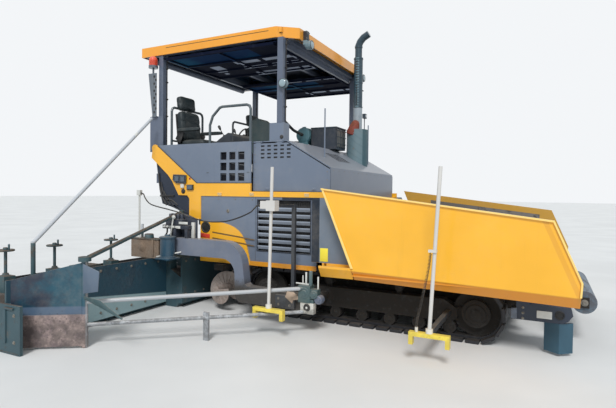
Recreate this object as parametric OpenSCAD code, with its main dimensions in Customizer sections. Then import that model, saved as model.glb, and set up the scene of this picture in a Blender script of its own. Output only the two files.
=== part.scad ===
// Tracked asphalt paver with a wide screed and a canopy.
// Frame: +X forward to the hopper, +Y to the machine's left, +Z up, floor at z = 0.
// Left pieces are drawn; right pieces are their mirror images.

/* [Overall] */
// Foremost reach of the push rollers, ahead of the origin
front_x = 3200; // [3150:10:3300]
// Rearmost reach of the screed walkway, behind the origin
rear_x = 3200; // [3100:10:3300]
// Half of the paving width, to the outside of the end gates
screed_half = 3800; // [3700:10:3900]

/* [Tracks] */
// Width of a track shoe
shoe_w = 320; // [280:10:340]
// Distance from the middle of the machine to the middle of a track
track_y = 1120; // [1110:5:1140]
// Overall height of a track
track_h = 620; // [600:5:625]
// Place of the rear drive sprocket's axle
sprocket_x = -590; // [-640:10:-560]
// Place of the front idler's axle
idler_x = 2040; // [1950:10:2080]
// Thickness of a shoe with its pad
shoe_t = 25; // [20:1:32]
// Thickness of the link chain
link_t = 35; // [30:1:40]
// Width of the link chain
link_w = 140; // [120:5:160]
// Number of shoes round one track
shoe_n = 42; // [36:1:44]
// Part of the pitch that a shoe fills
shoe_fill = 0.86; // [0.7:0.01:0.92]
// Number of bottom rollers in a track
roller_n = 7; // [5:1:8]

/* [Chassis] */
// Thickness of a chassis side plate
chassis_t = 25; // [16:1:35]
// Rear face of the chassis
chassis_rear = -1580; // [-1590:5:-1570]
// Front face of the chassis
chassis_front = 2480; // [2440:5:2500]
// Underside of the chassis
chassis_z0 = 340; // [320:5:360]
// Top of the chassis behind the hopper
chassis_z1 = 1000; // [980:5:1040]
// Top of the chassis under the hopper
chassis_z2 = 640; // [630:1:645]
// Half width of the conveyor tunnel
tunnel_half = 640; // [600:5:660]
// Top of the conveyor's floor
tunnel_z = 460; // [450:5:480]
// Underside of the tunnel's roof
tunnel_roof = 900; // [860:5:920]

/* [Body panels] */
// Distance from the middle to the outside of a side cover
cover_half = 1355; // [1345:5:1370]
// Thickness of side covers and upper panels
cover_t = 20; // [12:1:24]
// Front edge of a side cover
cover_front = 190; // [150:5:210]
// Top edge of a side cover, under the yellow stripe
cover_top = 1541; // [1530:1:1550]
// Top of the fender plates over the tracks
fender_z = 655; // [652:1:665]
// Top of the stripe along the engine bay
stripe_top = 1609; // [1600:1:1620]
// Top of the wider band beside the platform
band_top = 1717; // [1700:1:1730]
// Front edge of the upper panel, where the engine hood begins
hood_rear = -775; // [-790:5:-760]
// Top of the hood and of the upper panels
hood_top = 2269; // [2240:1:2300]
// Where the hood's top starts to fall
hood_slope_x = -282; // [-320:2:-240]
// Front face of the hood
hood_front = 338; // [334:1:342]
// Top of the hood's front face
hood_nose = 1913; // [1880:1:1950]
// Rear edge of the upper panel
panel_rear = -2405; // [-2420:1:-2390]
// Top of the operator's floor
deck_z = 1860; // [1850:5:1890]

/* [Hopper] */
// Distance from the middle to a wing's hinge
wing_hinge_y = 735; // [725:1:745]
// Height of a wing's hinge
wing_hinge_z = 705; // [703:1:715]
// Distance from the middle to a wing's outer wall
wing_half = 1740; // [1720:5:1760]
// Rear edge of a wing
wing_rear = 424; // [420:1:440]
// Length of a wing along its top
wing_top_len = 2344; // [2250:5:2350]
// Height of the wall's top at the rear
wing_z_rear = 1652; // [1600:2:1700]
// Height of the wall's top at the front
wing_z_front = 1372; // [1340:2:1400]
// Thickness of the wing's sheets
wing_t = 16; // [12:1:20]
// Top of a wing's floor
wing_floor = 700; // [698:1:702]

/* [Canopy] */
// Rear edge of the roof
roof_rear = -2773; // [-2800:5:-2740]
// Front edge of the roof
roof_front = -201; // [-230:5:-180]
// Half width of the roof
roof_half = 1306; // [1300:1:1320]
// Underside of the roof's fascia
roof_z = 3593; // [3560:1:3640]
// Height of the roof's fascia
fascia_h = 137; // [110:1:150]
// Side of a square post
post_w = 80; // [70:2:90]
// Place of the rear posts
post_rear_x = -2410; // [-2430:5:-2390]
// Place of the front posts
post_front_x = -392; // [-410:2:-370]
// Distance from the middle to a post's middle
post_y = 1247; // [1240:1:1250]

/* [Screed] */
// Distance from the middle to a tow arm's middle
arm_y = 1674; // [1665:1:1690]
// Width of a tow arm
arm_w = 140; // [100:5:146]
// Place of the tow point
tow_x = 230; // [225:1:235]
// Height of the tow point
tow_z = 320; // [315:1:325]
// Front face of the main screed
screed_front = -1750; // [-1770:5:-1740]
// Depth of the main screed along X
screed_deep = 620; // [560:5:640]
// Top of the screed's front plates
screed_top = 700; // [660:5:710]
// Half width of the main screed
main_half = 1560; // [1540:5:1580]
// How far the extensions' front plate lies behind the main one
extension_step = 280; // [240:5:300]

/* [Augers] */
// Diameter of the auger flights
auger_d = 420; // [380:5:440]
// Pitch of the auger flights
auger_pitch = 345; // [300:5:380]
// Place of the auger's shaft
auger_x = -1202; // [-1215:1:-1190]
// Height of the auger's shaft
auger_z = 306; // [300:1:320]
// Outer end of an auger
auger_end = 1530; // [1450:5:1540]

/* [Hidden] */
$fn = 40;

yellow = [0.97, 0.70, 0.18];
roof_orange = [0.96, 0.58, 0.12];
panel_grey = [0.46, 0.50, 0.58];
frame_dark = [0.20, 0.23, 0.27];
steel = [0.42, 0.42, 0.43];
dirt_teal = [0.24, 0.33, 0.36];
rubber = [0.12, 0.12, 0.13];
pale = [0.80, 0.81, 0.82];

// Clearance between pieces that move past each other
move_gap = 6;
// Gap between a loose piece and its seat, and round a pin
seat_gap = 0.3;
tow_pin_r = 30;

// Route of the sensor's cable, from the clamp box on the mast to the box on the screed
cable_route = [[-109, -2149, 1462], [-150, -2149, 1462], [-200, -2138, 1430], [-260, -2122, 1380],
  [-440, -2090, 1310], [-620, -2060, 1262], [-780, -2030, 1242], [-970, -2000, 1238],
  [-1120, -1970, 1250], [-1310, -1940, 1285], [-1500, -1910, 1330], [-1730, -1880, 1368],
  [-1940, -1850, 1398], [-2080, -1830, 1430], [-2180, -1808, 1495], [-2240, -1796, 1575],
  [-2275, -1796, 1575]];
// Middle line of the curly cable beside the front pole
curly_route = [[1745, -2165, 1060], [1745, -2165, 1030], [1735, -2165, 940], [1715, -2162, 820],
  [1695, -2160, 720], [1675, -2157, 620], [1655, -2153, 520], [1635, -2150, 440], [1625, -2149, 385],
  [1625, -2149, 345]];

// Points along an arc from angle a0 to a1 about [cx, cz]
function arc(cx, cz, r, a0, a1, n) = [for (i = [0 : n])
  [cx + r * cos(a0 + (a1 - a0) * i / n), cz + r * sin(a0 + (a1 - a0) * i / n)]];

// A flat plate drawn in X and Z, from y0 outwards to y1
module plate_xz(points, y0, y1) {
  translate([0, y1, 0])
    rotate([90, 0, 0])
      linear_extrude(y1 - y0)
        polygon(points);
}

// A profile drawn in Y and Z, from x0 forwards to x1
module plate_yz(points, x0, x1) {
  translate([x0, 0, 0])
    rotate([90, 0, 90])
      linear_extrude(x1 - x0)
        polygon(points);
}

// A block between two opposite corners
module block(a, b) {
  translate(a)
    cube(b - a);
}

// A round bar between two points
module rod(a, b, r) {
  d = b - a;
  translate(a)
    rotate([0, acos(d[2] / norm(d)), atan2(d[1], d[0])])
      cylinder(r = r, h = norm(d));
}

// A cylinder lying along Y, from y0 to y1
module round_y(x, z, r, y0, y1) {
  translate([x, y1, z])
    rotate([90, 0, 0])
      cylinder(r = r, h = y1 - y0);
}

// A cylinder lying along X, from x0 to x1
module round_x(y, z, r, x0, x1) {
  translate([x0, y, z])
    rotate([0, 90, 0])
      cylinder(r = r, h = x1 - x0);
}

// Direction of the path's stretch i, as an angle
function heading(p, i) = atan2(p[i + 1][1] - p[i][1], p[i + 1][0] - p[i][0]);

// A tube with n sides along a path in the XY plane, mitred at its corners
module mitred(p, r, n = 12) {
  last = len(p) - 1;
  rings = [for (i = [0 : last])
    let (before = heading(p, max(i - 1, 0)), after = heading(p, min(i, last - 1)),
      mid = (before + after) / 2,
      stretch = r / cos((after - before) / 2))
    for (k = [0 : n - 1])
      let (a = 360 * (k + 0.5) / n)
        [p[i][0] - sin(mid) * stretch * cos(a), p[i][1] + cos(mid) * stretch * cos(a), r * sin(a)]];
  sides = [for (i = [0 : last - 1], k = [0 : n - 1])
    [i * n + k, (i + 1) * n + k, (i + 1) * n + (k + 1) % n, i * n + (k + 1) % n]];
  ends = [[for (k = [0 : n - 1]) k], [for (k = [n - 1 : -1 : 0]) last * n + k]];
  polyhedron(rings, concat(sides, ends), convexity = 6);
}

// Point on the smooth curve through a route, at the part t past its point i
function on_route(p, i, t) =
  let (a = p[max(i - 1, 0)], b = p[i], c = p[i + 1], d = p[min(i + 2, len(p) - 1)],
    m0 = (c - a) / 2, m1 = (d - b) / 2)
      b + t * m0 + t * t * (3 * (c - b) - 2 * m0 - m1) + t * t * t * (2 * (b - c) + m0 + m1);

// A round cable of radius r along a route, with a ring about every gap
module cord(p, r, gap, n = 8) {
  q = [for (i = [0 : len(p) - 1])
    let (steps = i < len(p) - 1 ? max(1, round(norm(p[i + 1] - p[i]) / gap)) : 1)
      for (k = [0 : steps - 1])
        i < len(p) - 1 ? on_route(p, i, k / steps) : p[i]];
  last = len(q) - 1;
  rings = [for (i = [0 : last])
    let (along = q[min(i + 1, last)] - q[max(i - 1, 0)], side = cross([0, 1, 0], along),
      u = side / norm(side),
      v = cross(along, u) / norm(along))
      for (k = [0 : n - 1])
        let (a = 360 * (k + 0.5) / n)
          q[i] + r * (cos(a) * u + sin(a) * v)];
  sides = [for (i = [0 : last - 1], k = [0 : n - 1])
    [i * n + k, (i + 1) * n + k, (i + 1) * n + (k + 1) % n, i * n + (k + 1) % n]];
  ends = [[for (k = [0 : n - 1]) k], [for (k = [n - 1 : -1 : 0]) last * n + k]];
  polyhedron(rings, concat(sides, ends), convexity = 6);
}

// Stands an XY drawing up, so that its Y becomes Z, on the plane at y
module stand_xz(y) {
  translate([0, y, 0])
    rotate([90, 0, 0])
      children();
}

// Stands an XY drawing up, so that its X becomes Y and its Y becomes Z, on the plane at x
module stand_yz(x) {
  translate([x, 0, 0])
    rotate([90, 0, 90])
      children();
}

module both_sides() {
  children();
  mirror([0, 1, 0])
    children();
}

module right_side() {
  mirror([0, 1, 0])
    children();
}

// Tracks

// The chassis keeps clear of the inner ends of the shoes, the hood doors of the panels' outer face
chassis_half = track_y - shoe_w / 2 - 75;
hood_half = cover_half - 47;
track_r = track_h / 2;
track_len = idler_x - sprocket_x;
shoe_mid_r = track_r - shoe_t;
loop_len = 2 * track_len + 2 * PI * shoe_mid_r;
shoe_pitch = loop_len / shoe_n;
track_in_r = track_r - shoe_t - link_t;
// A flat shoe on a bend sits lower, so that its corners stay on the outer circle
bend_drop = norm([track_r, shoe_pitch * shoe_fill / 2]) - track_r;

module loop_2d(r) {
  translate([sprocket_x, track_r])
    circle(r = r, $fn = 72);
  translate([idler_x, track_r])
    circle(r = r, $fn = 72);
  translate([sprocket_x, track_r - r])
    square([track_len, 2 * r]);
}

// Carries a shoe to the distance s along the loop
module on_loop(s) {
  bend = PI * shoe_mid_r;
  if (s < track_len)
    translate([sprocket_x + s, shoe_t])
      rotate(180)
        children();
  else if (s < track_len + bend)
    translate([idler_x, track_r])
      rotate(180 * (s - track_len) / bend)
        translate([0, bend_drop - shoe_mid_r])
          rotate(180)
            children();
  else if (s < 2 * track_len + bend)
    translate([idler_x - (s - track_len - bend), track_h - shoe_t])
      children();
  else
    translate([sprocket_x, track_r])
      rotate(180 * (s - 2 * track_len - bend) / bend)
        translate([0, shoe_mid_r - bend_drop])
          children();
}

module shoe_2d() {
  half = shoe_pitch * shoe_fill / 2;
  bevel = shoe_t * 0.4;
  polygon([[-half, -link_t / 4], [half, -link_t / 4], [half, shoe_t - bevel],
    [half - bevel, shoe_t], [bevel - half, shoe_t], [-half, shoe_t - bevel]]);
}

module track() {
  color(rubber) {
    translate([0, track_y + link_w / 2, 0])
      rotate([90, 0, 0])
        linear_extrude(link_w)
          difference() {
            loop_2d(shoe_mid_r);
            loop_2d(track_in_r);
          }
    translate([0, track_y + shoe_w / 2, 0])
      rotate([90, 0, 0])
        linear_extrude(shoe_w)
          for (i = [0 : shoe_n - 1])
            on_loop((i + 0.5) * shoe_pitch)
              shoe_2d();
  }
}

frame_half = 75;
frame_rear = sprocket_x + 260;
frame_front = idler_x - 200;
frame_z0 = 190;
frame_z1 = 430;
roller_r = 70;
carrier_r = 50;
hub_r = 150;

module track_frame() {
  wheel_r = track_in_r - seat_gap;
  roller_pitch = (track_len - 560) / (roller_n - 1);
  inner = track_y - frame_half;
  outer = track_y + frame_half;
  color(frame_dark) {
    plate_xz([[frame_rear, frame_z0 + 40], [frame_rear + 60, frame_z0], [frame_front - 60, frame_z0],
      [frame_front, frame_z0 + 40], [frame_front, frame_z1 - 90], [frame_front - 150, frame_z1],
      [frame_rear + 150, frame_z1], [frame_rear, frame_z1 - 90]], inner, outer);
    block([sprocket_x, inner + 20, track_r - 50], [idler_x, outer - 20, track_r + 50]);
    for (x = [sprocket_x, idler_x]) {
      round_y(x, track_r, wheel_r, track_y - 30, track_y + 30);
      round_y(x, track_r, hub_r, inner - 20, outer + 30);
      round_y(x, track_r, hub_r / 2, outer + 30, outer + 50);
    }
    for (i = [0 : roller_n - 1])
      for (y = [inner + 5, outer - 45])
        round_y(sprocket_x + 280 + i * roller_pitch, shoe_t + link_t + seat_gap + roller_r,
          roller_r, y, y + 40);
    for (f = [0.33, 0.67])
      round_y(sprocket_x + f * track_len, track_h - shoe_t - link_t - seat_gap - carrier_r,
        carrier_r, track_y - 50, track_y + 50);
    for (f = [0.33, 0.67])
      block([sprocket_x + f * track_len - 30, track_y - 20, frame_z1 - 10],
        [sprocket_x + f * track_len + 30, track_y + 20, track_h - shoe_t - link_t - carrier_r]);
    // Tow pin that carries the tow arm
    round_y(tow_x, tow_z, tow_pin_r, outer - 1, arm_y + arm_w / 2 + 20);
    round_y(tow_x, tow_z, 2 * tow_pin_r, outer - 1, arm_y - arm_w / 2 - move_gap);
  }
}

// Chassis

web_t = 25;
belly_t = 20;
wall_t = 20;
// The hopper's rear wall stands just ahead of the hood
hopper_wall_x = hood_front + 7;
wing_pin_r = 18;
wing_lug_w = 60;
// Where the wing's hinge lugs stand, as parts of the wing's length
wing_lugs = [0.06, 0.48, 0.84];

// The chassis steps up over the augers behind this place
tunnel_rear = -960;
chassis_z3 = 760;

// Side plates, which rise beside the engine and carry on over the augers to the rear
module side_plates() {
  inner = chassis_half - chassis_t;
  color(frame_dark)
    both_sides() {
      plate_xz([[chassis_rear, chassis_z3], [tunnel_rear, chassis_z3], [tunnel_rear, chassis_z0],
        [chassis_front, chassis_z0], [chassis_front, chassis_z2], [hopper_wall_x, chassis_z2],
        [hopper_wall_x, chassis_z1], [chassis_rear, chassis_z1]], inner, chassis_half);
      // Stubs that carry the track frame
      for (x = [160, 1500])
        round_y(x, track_r, 80, inner, track_y - frame_half);
    }
}

// Webs and floor of the conveyor tunnel, with the lugs and pins that the wings turn on
module tunnel_plates() {
  x1 = chassis_front - wall_t;
  color(frame_dark) {
    block([tunnel_rear, -tunnel_half - 1, tunnel_z - belly_t], [x1, tunnel_half + 1, tunnel_z]);
    both_sides() {
      block([tunnel_rear, tunnel_half, chassis_z0 + belly_t], [x1, tunnel_half + web_t, chassis_z2 + 30]);
      for (f = wing_lugs)
        translate([wing_rear + f * wing_top_len, 0, 0])
          rotate([90, 0, 90])
            linear_extrude(wing_lug_w)
              union() {
                translate([tunnel_half + 5, wing_hinge_z - 105])
                  square([wing_hinge_y - tunnel_half - 5, 135]);
                translate([wing_hinge_y, wing_hinge_z])
                  circle(r = 30);
              }
      round_x(wing_hinge_y, wing_hinge_z, wing_pin_r, wing_rear + wing_lugs[0] * wing_top_len,
        wing_rear + wing_lugs[2] * wing_top_len + wing_lug_w);
    }
  }
}

pin_r = 40;
push_pivot_x = 2860;
push_z0 = 370;
push_z1 = 560;
eye_r = 22;
eye_plate = 40;
eye_y = 760;
eye_z = 400;

// Belly plate, front wall and nose of the chassis
module chassis() {
  color(frame_dark) {
    inner = chassis_half - chassis_t;
    block([tunnel_rear, -inner, chassis_z0], [chassis_front - wall_t, inner, chassis_z0 + belly_t]);
    block([chassis_front - wall_t, -inner, chassis_z0], [chassis_front, inner, chassis_z2]);
    // Nose that carries the push beam's upright pin
    for (z = [push_z0 - 46, push_z1 + 6])
      plate_nose(z);
    translate([push_pivot_x, 0, push_z0 - 26])
      cylinder(r = pin_r, h = push_z1 - push_z0 + 52);
    // Towing eyes in front
    difference() {
      for (s = [-1, 1])
        block([chassis_front - 1, s * eye_y - 60, eye_z],
          [chassis_front + 110, s * eye_y + 60, eye_z + eye_plate]);
      for (s = [-1, 1])
        translate([chassis_front + 60, s * eye_y, eye_z - 1])
          cylinder(r = eye_r, h = eye_plate + 2);
    }
  }
}

module plate_nose(z) {
  translate([0, 0, z])
    linear_extrude(40)
      union() {
        translate([chassis_front - 1, -170])
          square([push_pivot_x - chassis_front, 340]);
        translate([push_pivot_x, 0])
          circle(r = 90);
      }
}

// Engine on the plate that roofs the conveyor tunnel
module engine_block() {
  inner = chassis_half - chassis_t;
  color(steel) {
    block([tunnel_rear, -inner, tunnel_roof], [hopper_wall_x, inner, tunnel_roof + belly_t]);
    block([-690, -400, tunnel_roof + belly_t - 1], [230, 400, 1500]);
    block([-600, -250, 1499], [150, 250, 1820]);
    for (y = [-430, 400])
      block([-560, y, 1120], [120, y + 30, 1400]);
    round_x(0, 1240, 190, 229, 290);
  }
}

// Body frame: fenders, bulkheads and the platform's bearers

bulk_t = 15;
// Half width of the hood's fixed skin, inside the doors' hinges
hood_in = hood_half - 24;

module body_frame() {
  inside = cover_half - cover_t;
  color(frame_dark) {
    both_sides()
      block([chassis_rear - bulk_t, chassis_half, fender_z - bulk_t], [hopper_wall_x, inside, fender_z]);
    difference() {
      block([chassis_rear - bulk_t, -inside, fender_z - 1], [chassis_rear, inside, deck_z - 30]);
      block([chassis_rear - 2 * bulk_t, -chassis_half, fender_z - 2],
        [chassis_rear + 1, chassis_half, 940]);
    }
    block([hood_rear - 20, -hood_in, chassis_z1], [hood_rear - 5, hood_in, hood_top - hood_t]);
    // Lashing eyes at the rear
    difference() {
      for (s = [-1, 1])
        block([chassis_rear - bulk_t - 90, s * 1000 - 60, 1040],
          [chassis_rear - bulk_t + 1, s * 1000 + 60, 1080]);
      for (s = [-1, 1])
        translate([chassis_rear - bulk_t - 45, s * 1000, 1039])
          cylinder(r = eye_r, h = 42);
    }
    // Brackets for the screed's lifting cylinders
    for (s = [-1, 1], o = [-66, 66])
      block([lift_x - 60, s * lift_y + o - 10, lift_top - 50], [lift_x + 60, s * lift_y + o + 10,
        deck_z - 30]);
    for (s = [-1, 1])
      round_y(lift_x, lift_top, lift_pin_r, s * lift_y - 80, s * lift_y + 80);
    for (s = [-1, 1])
      block([lift_x - 60, s * lift_y - 76, deck_z - 60],
        [chassis_rear - bulk_t + 1, s * lift_y + 76, deck_z - 30]);
  }
}

// Side covers

louvre_x0 = -666;
louvre_x1 = 105;
louvre_z0 = 842;
louvre_z1 = 1500;
louvre_pitch = 83;
louvre_n = 7;

module side_cover() {
  inside = cover_half - cover_t;
  color(panel_grey) {
    difference() {
      block([chassis_rear - bulk_t, inside, fender_z - bulk_t], [cover_front, cover_half, cover_top]);
      block([louvre_x0, inside - 1, louvre_z0], [louvre_x1, cover_half + 1, louvre_z1]);
    }
    // Inclined slats over the air opening
    for (i = [0 : louvre_n - 1])
      translate([0, 0, louvre_z0 + 20 + i * louvre_pitch])
        plate_yz([[inside, 0], [inside, 8], [cover_half - 4, 48], [cover_half, 48], [cover_half, 34]],
          louvre_x0 - 1, louvre_x1 + 1);
  }
}

panel_slope = (band_top - hood_top) / (-1671 - panel_rear);
hole_w = 80;
hole_h = 95;
hole_pitch_x = 145;
hole_pitch_z = 142;
hole_x = -1271;
hole_z = 1750;

module upper_panel() {
  inside = cover_half - cover_t;
  color(panel_grey)
    difference() {
      plate_xz([[hood_rear - 4, band_top], [hood_rear - 4, hood_top], [panel_rear, hood_top],
        [-1671, band_top]],
        inside, cover_half);
      for (i = [0 : 2], j = [0 : 2])
        block([hole_x + i * hole_pitch_x, inside - 1, hole_z + j * hole_pitch_z],
          [hole_x + i * hole_pitch_x + hole_w + 20, cover_half + 1,
            hole_z + j * hole_pitch_z + hole_h + 8]);
    }
}

band_proud = 10;
accent_proud = 14;
// Outline of the accent cover, in X and Z
accent_curve = [[chassis_rear - bulk_t, fender_z - bulk_t], [chassis_rear - bulk_t, 1191], [-1400, 1192],
  [-1300, 1190], [-1200, 1180], [-1110, 1160], [-1030, 1130], [-960, 1088], [-905, 1035], [-860, 965],
  [-825, 885], [-800, 800], [-773, 682], [-773, fender_z - bulk_t]];

module side_band() {
  inside = cover_half - cover_t;
  color(yellow) {
    plate_xz(concat([[400, cover_top], [400, stripe_top], [hood_rear, stripe_top], [hood_rear, band_top],
      [-1671, band_top], [panel_rear, hood_top]],
      arc(-2452, 2228, 55, 48, 205, 8),
      [[-2135, 1793], [-1876, 1588], [-1800, 1500], [-1800, 1220], [chassis_rear - bulk_t, 1220],
      [chassis_rear - bulk_t, cover_top]]), inside, cover_half + band_proud);
    // Curved accent cover low at the rear, with two grooves
    difference() {
      plate_xz(accent_curve, cover_half, cover_half + accent_proud);
      for (z = [1045, 965])
        plate_xz([[-1390, z], [-1390, z + 12], [-700, z - 58], [-700, z - 70]],
          cover_half + accent_proud - 8, cover_half + 2 * accent_proud);
    }
    // Skirt strip
    block([-774, cover_half, fender_z - bulk_t], [cover_front, cover_half + accent_proud, fender_z + 42]);
  }
}

// Hood

hood_t = 12;
door_gap = 6;
slot_w = 55;
slot_h = 22;
door_hinge_z = hood_top - 12;
door_hinge_y = hood_half - 6;
door_pin_r = 6;
// Hinge places along the hood's flat top
door_hinges = [-700, -380];

module hood() {
  half = hood_in;
  color(panel_grey) {
    difference() {
      plate_xz([[hood_rear - 20, hood_top - hood_t], [hood_rear - 20, hood_top], [hood_slope_x, hood_top],
        [hood_front, hood_nose], [hood_front, cover_top], [hood_front - hood_t, cover_top],
        [hood_front - hood_t, hood_nose - 7], [hood_slope_x - 3, hood_top - hood_t]], -half, half);
      // Air slots across the slope
      for (i = [0 : 7])
        block([-110, -520 + i * 58, hood_nose], [120, -520 + i * 58 + 30, hood_top]);
    }
    // Width rods that the driver sights along
    for (s = [-1, 1])
      translate([50, s * 850, hood_z(50) - 8])
        cylinder(r = 9, h = 650);
    // Hinge pins for the doors, each in two small ears
    for (s = [-1, 1], x = door_hinges) {
      round_x(s * door_hinge_y, door_hinge_z, door_pin_r, x - 60, x + 60);
      for (o = [-60, 48])
        block([x + o, min(s * (half - 1), s * (hood_half + 3)), door_hinge_z - 10],
          [x + o + 12, max(s * (half - 1), s * (hood_half + 3)), door_hinge_z + 10]);
    }
    // Cabinet at the foot of the right front post
    block([post_front_x - 150, -half, hood_top - 1], [post_front_x + 60, -half + 150, cabinet_top]);
  }
}

cabinet_top = 2500;

module hood_door() {
  inner = hood_half - 12;
  top = door_hinge_z - 20;
  color(panel_grey)
    difference() {
      union() {
        plate_xz([[hood_rear + 5, stripe_top + door_gap], [hood_rear + 5, top], [hood_slope_x + 20, top],
          [hood_front - 2, hood_nose - 24], [hood_front - 2, stripe_top + door_gap]], inner, hood_half);
        for (x = door_hinges) {
          round_x(door_hinge_y, door_hinge_z, door_pin_r + 6, x - 40, x + 40);
          block([x - 40, inner, top - 5], [x + 40, hood_half, door_hinge_z]);
        }
      }
      for (i = [0 : 4], j = [0 : 3])
        block([-656 + i * 97, inner - 1, 2041 + j * 50],
          [-656 + i * 97 + slot_w, hood_half + 1, 2041 + j * 50 + slot_h]);
      for (x = door_hinges)
        round_x(door_hinge_y, door_hinge_z, door_pin_r + seat_gap, x - 41, x + 41);
    }
}

// Platform

deck_t = 30;
deck_rear = post_rear_x + post_w / 2;

module deck() {
  inside = cover_half - cover_t;
  color(frame_dark) {
    block([deck_rear, -inside, deck_z - deck_t], [hood_rear - 20, inside, deck_z]);
    // Rear kick plate and two steps down to the screed walkway
    block([deck_rear, -inside, deck_z - 140], [deck_rear + 15, inside, deck_z - deck_t]);
    for (s = [-1, 1])
      block([-2500, s * 300 - 10, 1250], [deck_rear, s * 300 + 10, deck_z]);
    for (z = [1280, 1560])
      block([-2500, -300, z], [deck_rear, 300, z + 25]);
  }
}

// Valve block, filters and oil tank on the rear bulkhead
module rear_valves() {
  x = chassis_rear - bulk_t;
  color(frame_dark) {
    for (s = [-1, 1]) {
      block([x - 200, s * 1090 - 190, 1290], [x, s * 1090 + 190, 1600]);
      for (o = [-100, 30])
        translate([x - 110, s * 1090 + o, 1130])
          cylinder(r = 52, h = 161);
      for (o = [-150, -75, 0, 75])
        block([x - 240, s * 1090 + o, 1330], [x - 199, s * 1090 + o + 45, 1560]);
    }
    block([x - 270, -620, 1180], [x, 620, 1500]);
    round_y(x - 180, 1560, 62, -560, 560);
  }
}

module console() {
  half = cover_half - 205;
  color(frame_dark) {
    // Cross beam on two feet, with the bin under it
    plate_xz([[-1470, 2040], [-1500, 2080], [-1500, 2180], [-1250, 2180], [-1250, 2080],
      [-1280, 2040]], -half, half);
    for (y = [-half + 20, -60, half - 140])
      block([-1440, y, deck_z], [-1310, y + 120, 2041]);
    // Two control desks with sloped tops and rounded backs
    for (s = [-1, 1]) {
      plate_xz([[-1525, 2179], [-1545, 2230], [-1530, 2290], [-1440, 2350], [-1300, 2425],
        [-1245, 2420], [-1215, 2380],
        [-1205, 2250], [-1225, 2179]], s * 920 - 230, s * 920 + 230);
      for (o = [-238, 222])
        plate_xz([[-1480, 2200], [-1495, 2280], [-1300, 2390], [-1250, 2380],
          [-1240, 2200]], s * 920 + o, s * 920 + o + 16);
    }
    // Raised cover of the instruments between the desks
    plate_xz([[-1440, 2179], [-1465, 2640], [-1430, 2720], [-1330, 2745], [-1270, 2700],
      [-1240, 2400], [-1250, 2179]], -340, -60);
  }
}

seat_x = -1980;
seat_y = 918;

module seat() {
  color(rubber) {
    translate([seat_x, seat_y, deck_z])
      cylinder(r = 60, h = 330);
    block([seat_x - 200, seat_y - 190, deck_z + 330], [seat_x + 200, seat_y + 190, deck_z + 370]);
    block([seat_x - 220, seat_y - 230, deck_z + 370], [seat_x + 250, seat_y + 230, deck_z + 490]);
    plate_xz([[seat_x - 220, deck_z + 440], [seat_x - 110, deck_z + 490], [seat_x - 190, deck_z + 960],
      [seat_x - 290, deck_z + 950]], seat_y - 220, seat_y + 220);
    plate_xz([[seat_x - 290, deck_z + 950], [seat_x - 190, deck_z + 960], [seat_x - 200, 3035],
      [seat_x - 300, 3030]], seat_y - 135, seat_y + 135);
    for (o = [-1, 1])
      block([seat_x - 200, seat_y + o * 260 - 28, deck_z + 620],
        [seat_x + 200, seat_y + o * 260 + 28, deck_z + 660]);
    for (o = [-1, 1])
      block([seat_x - 215, seat_y + min(o * 215, o * 245), deck_z + 600],
        [seat_x - 175, seat_y + max(o * 215, o * 245), deck_z + 640]);
  }
}

rail_r = 18;
rail_y = cover_half - 45;

module handrails() {
  color(panel_grey) {
    for (s = [-1, 1])
      stand_xz(s * rail_y)
        mitred([[-1487, deck_z], [-1487, 2520], [-1440, 2640], [-1320, 2750], [-1280, 2760], [-880, 2760],
          [-836, 2742], [-818, 2700], [-818, deck_z]], rail_r);
    both_sides()
      stand_yz(-2345) {
        mitred([[420, deck_z], [420, 2800], [435, 2840], [475, 2860], [1075, 2860], [1115, 2840],
          [1130, 2800],
          [1130, deck_z]], rail_r);
        mitred([[425, 2360], [1125, 2360]], rail_r * 0.8);
      }
  }
}

// Canopy

module canopy_frame() {
  h = post_w / 2;
  color(frame_dark) {
    // columns: x, side, foot height
    for (p = [[post_rear_x, 1, deck_z - 140], [post_rear_x, -1, deck_z - 140],
        [post_front_x, 1, hood_top], [post_front_x, -1, cabinet_top]])
      block([p[0] - h, p[1] * post_y - h, p[2]], [p[0] + h, p[1] * post_y + h, roof_z]);
    for (s = [-1, 1])
      block([post_rear_x - 60, s * post_y - 60, deck_z - 140], [deck_rear, s * post_y + 60, deck_z]);
    // Beams along and across under the roof, inside its fascia
    intersection() {
      translate([0, 0, roof_z - 1])
        linear_extrude(61)
          roof_2d(fascia_t + 1);
      union() {
        for (s = [-1, 1])
          block([roof_rear + 60, s * post_y - 30, roof_z - 1], [roof_front - 60, s * post_y + 30,
            roof_z + 60]);
        for (x = [post_rear_x, -1900, post_front_x - 510, post_front_x])
          block([x - 30, -post_y, roof_z], [x + 30, post_y, roof_z + 60]);
        block([roof_rear + 60, -post_y - 30, roof_z], [roof_rear + 100, post_y + 30, roof_z + 60]);
      }
    }
    // Rails that the awnings slide in
    for (m = [0, 1])
      translate([m == 0 ? post_rear_x : post_front_x, 0, 0])
        mirror([m, 0, 0]) {
          block([h - 1, -1200, awning_z - 16], [h + 4, 1200, roof_z + 20]);
          block([h, -1200, awning_z - 18], [h + 40, 1200, awning_z - 12 - seat_gap]);
          block([29, -1200, roof_z], [h + 4, 1200, roof_z + 20]);
        }
    // Dark roller bar hung under the rear edge
    round_y(roof_rear + 130, roof_z - 30, 45, -1150, 1150);
    for (s = [-1, 1])
      block([roof_rear + 100, s * 1155 - 6, roof_z - 60], [roof_rear + 160, s * 1155 + 6, roof_z + 10]);
    // Foot plate at the right rear post
    block([post_rear_x - 190, -post_y - 60, 2180], [post_rear_x - h, -post_y - 48, 2700]);
    block([post_rear_x - 60, -post_y - 60, 2180], [post_rear_x + 60, -post_y - h + 1, 2700]);
  }
}

roof_t = 12;
fascia_t = 14;
corner = 190;

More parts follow.
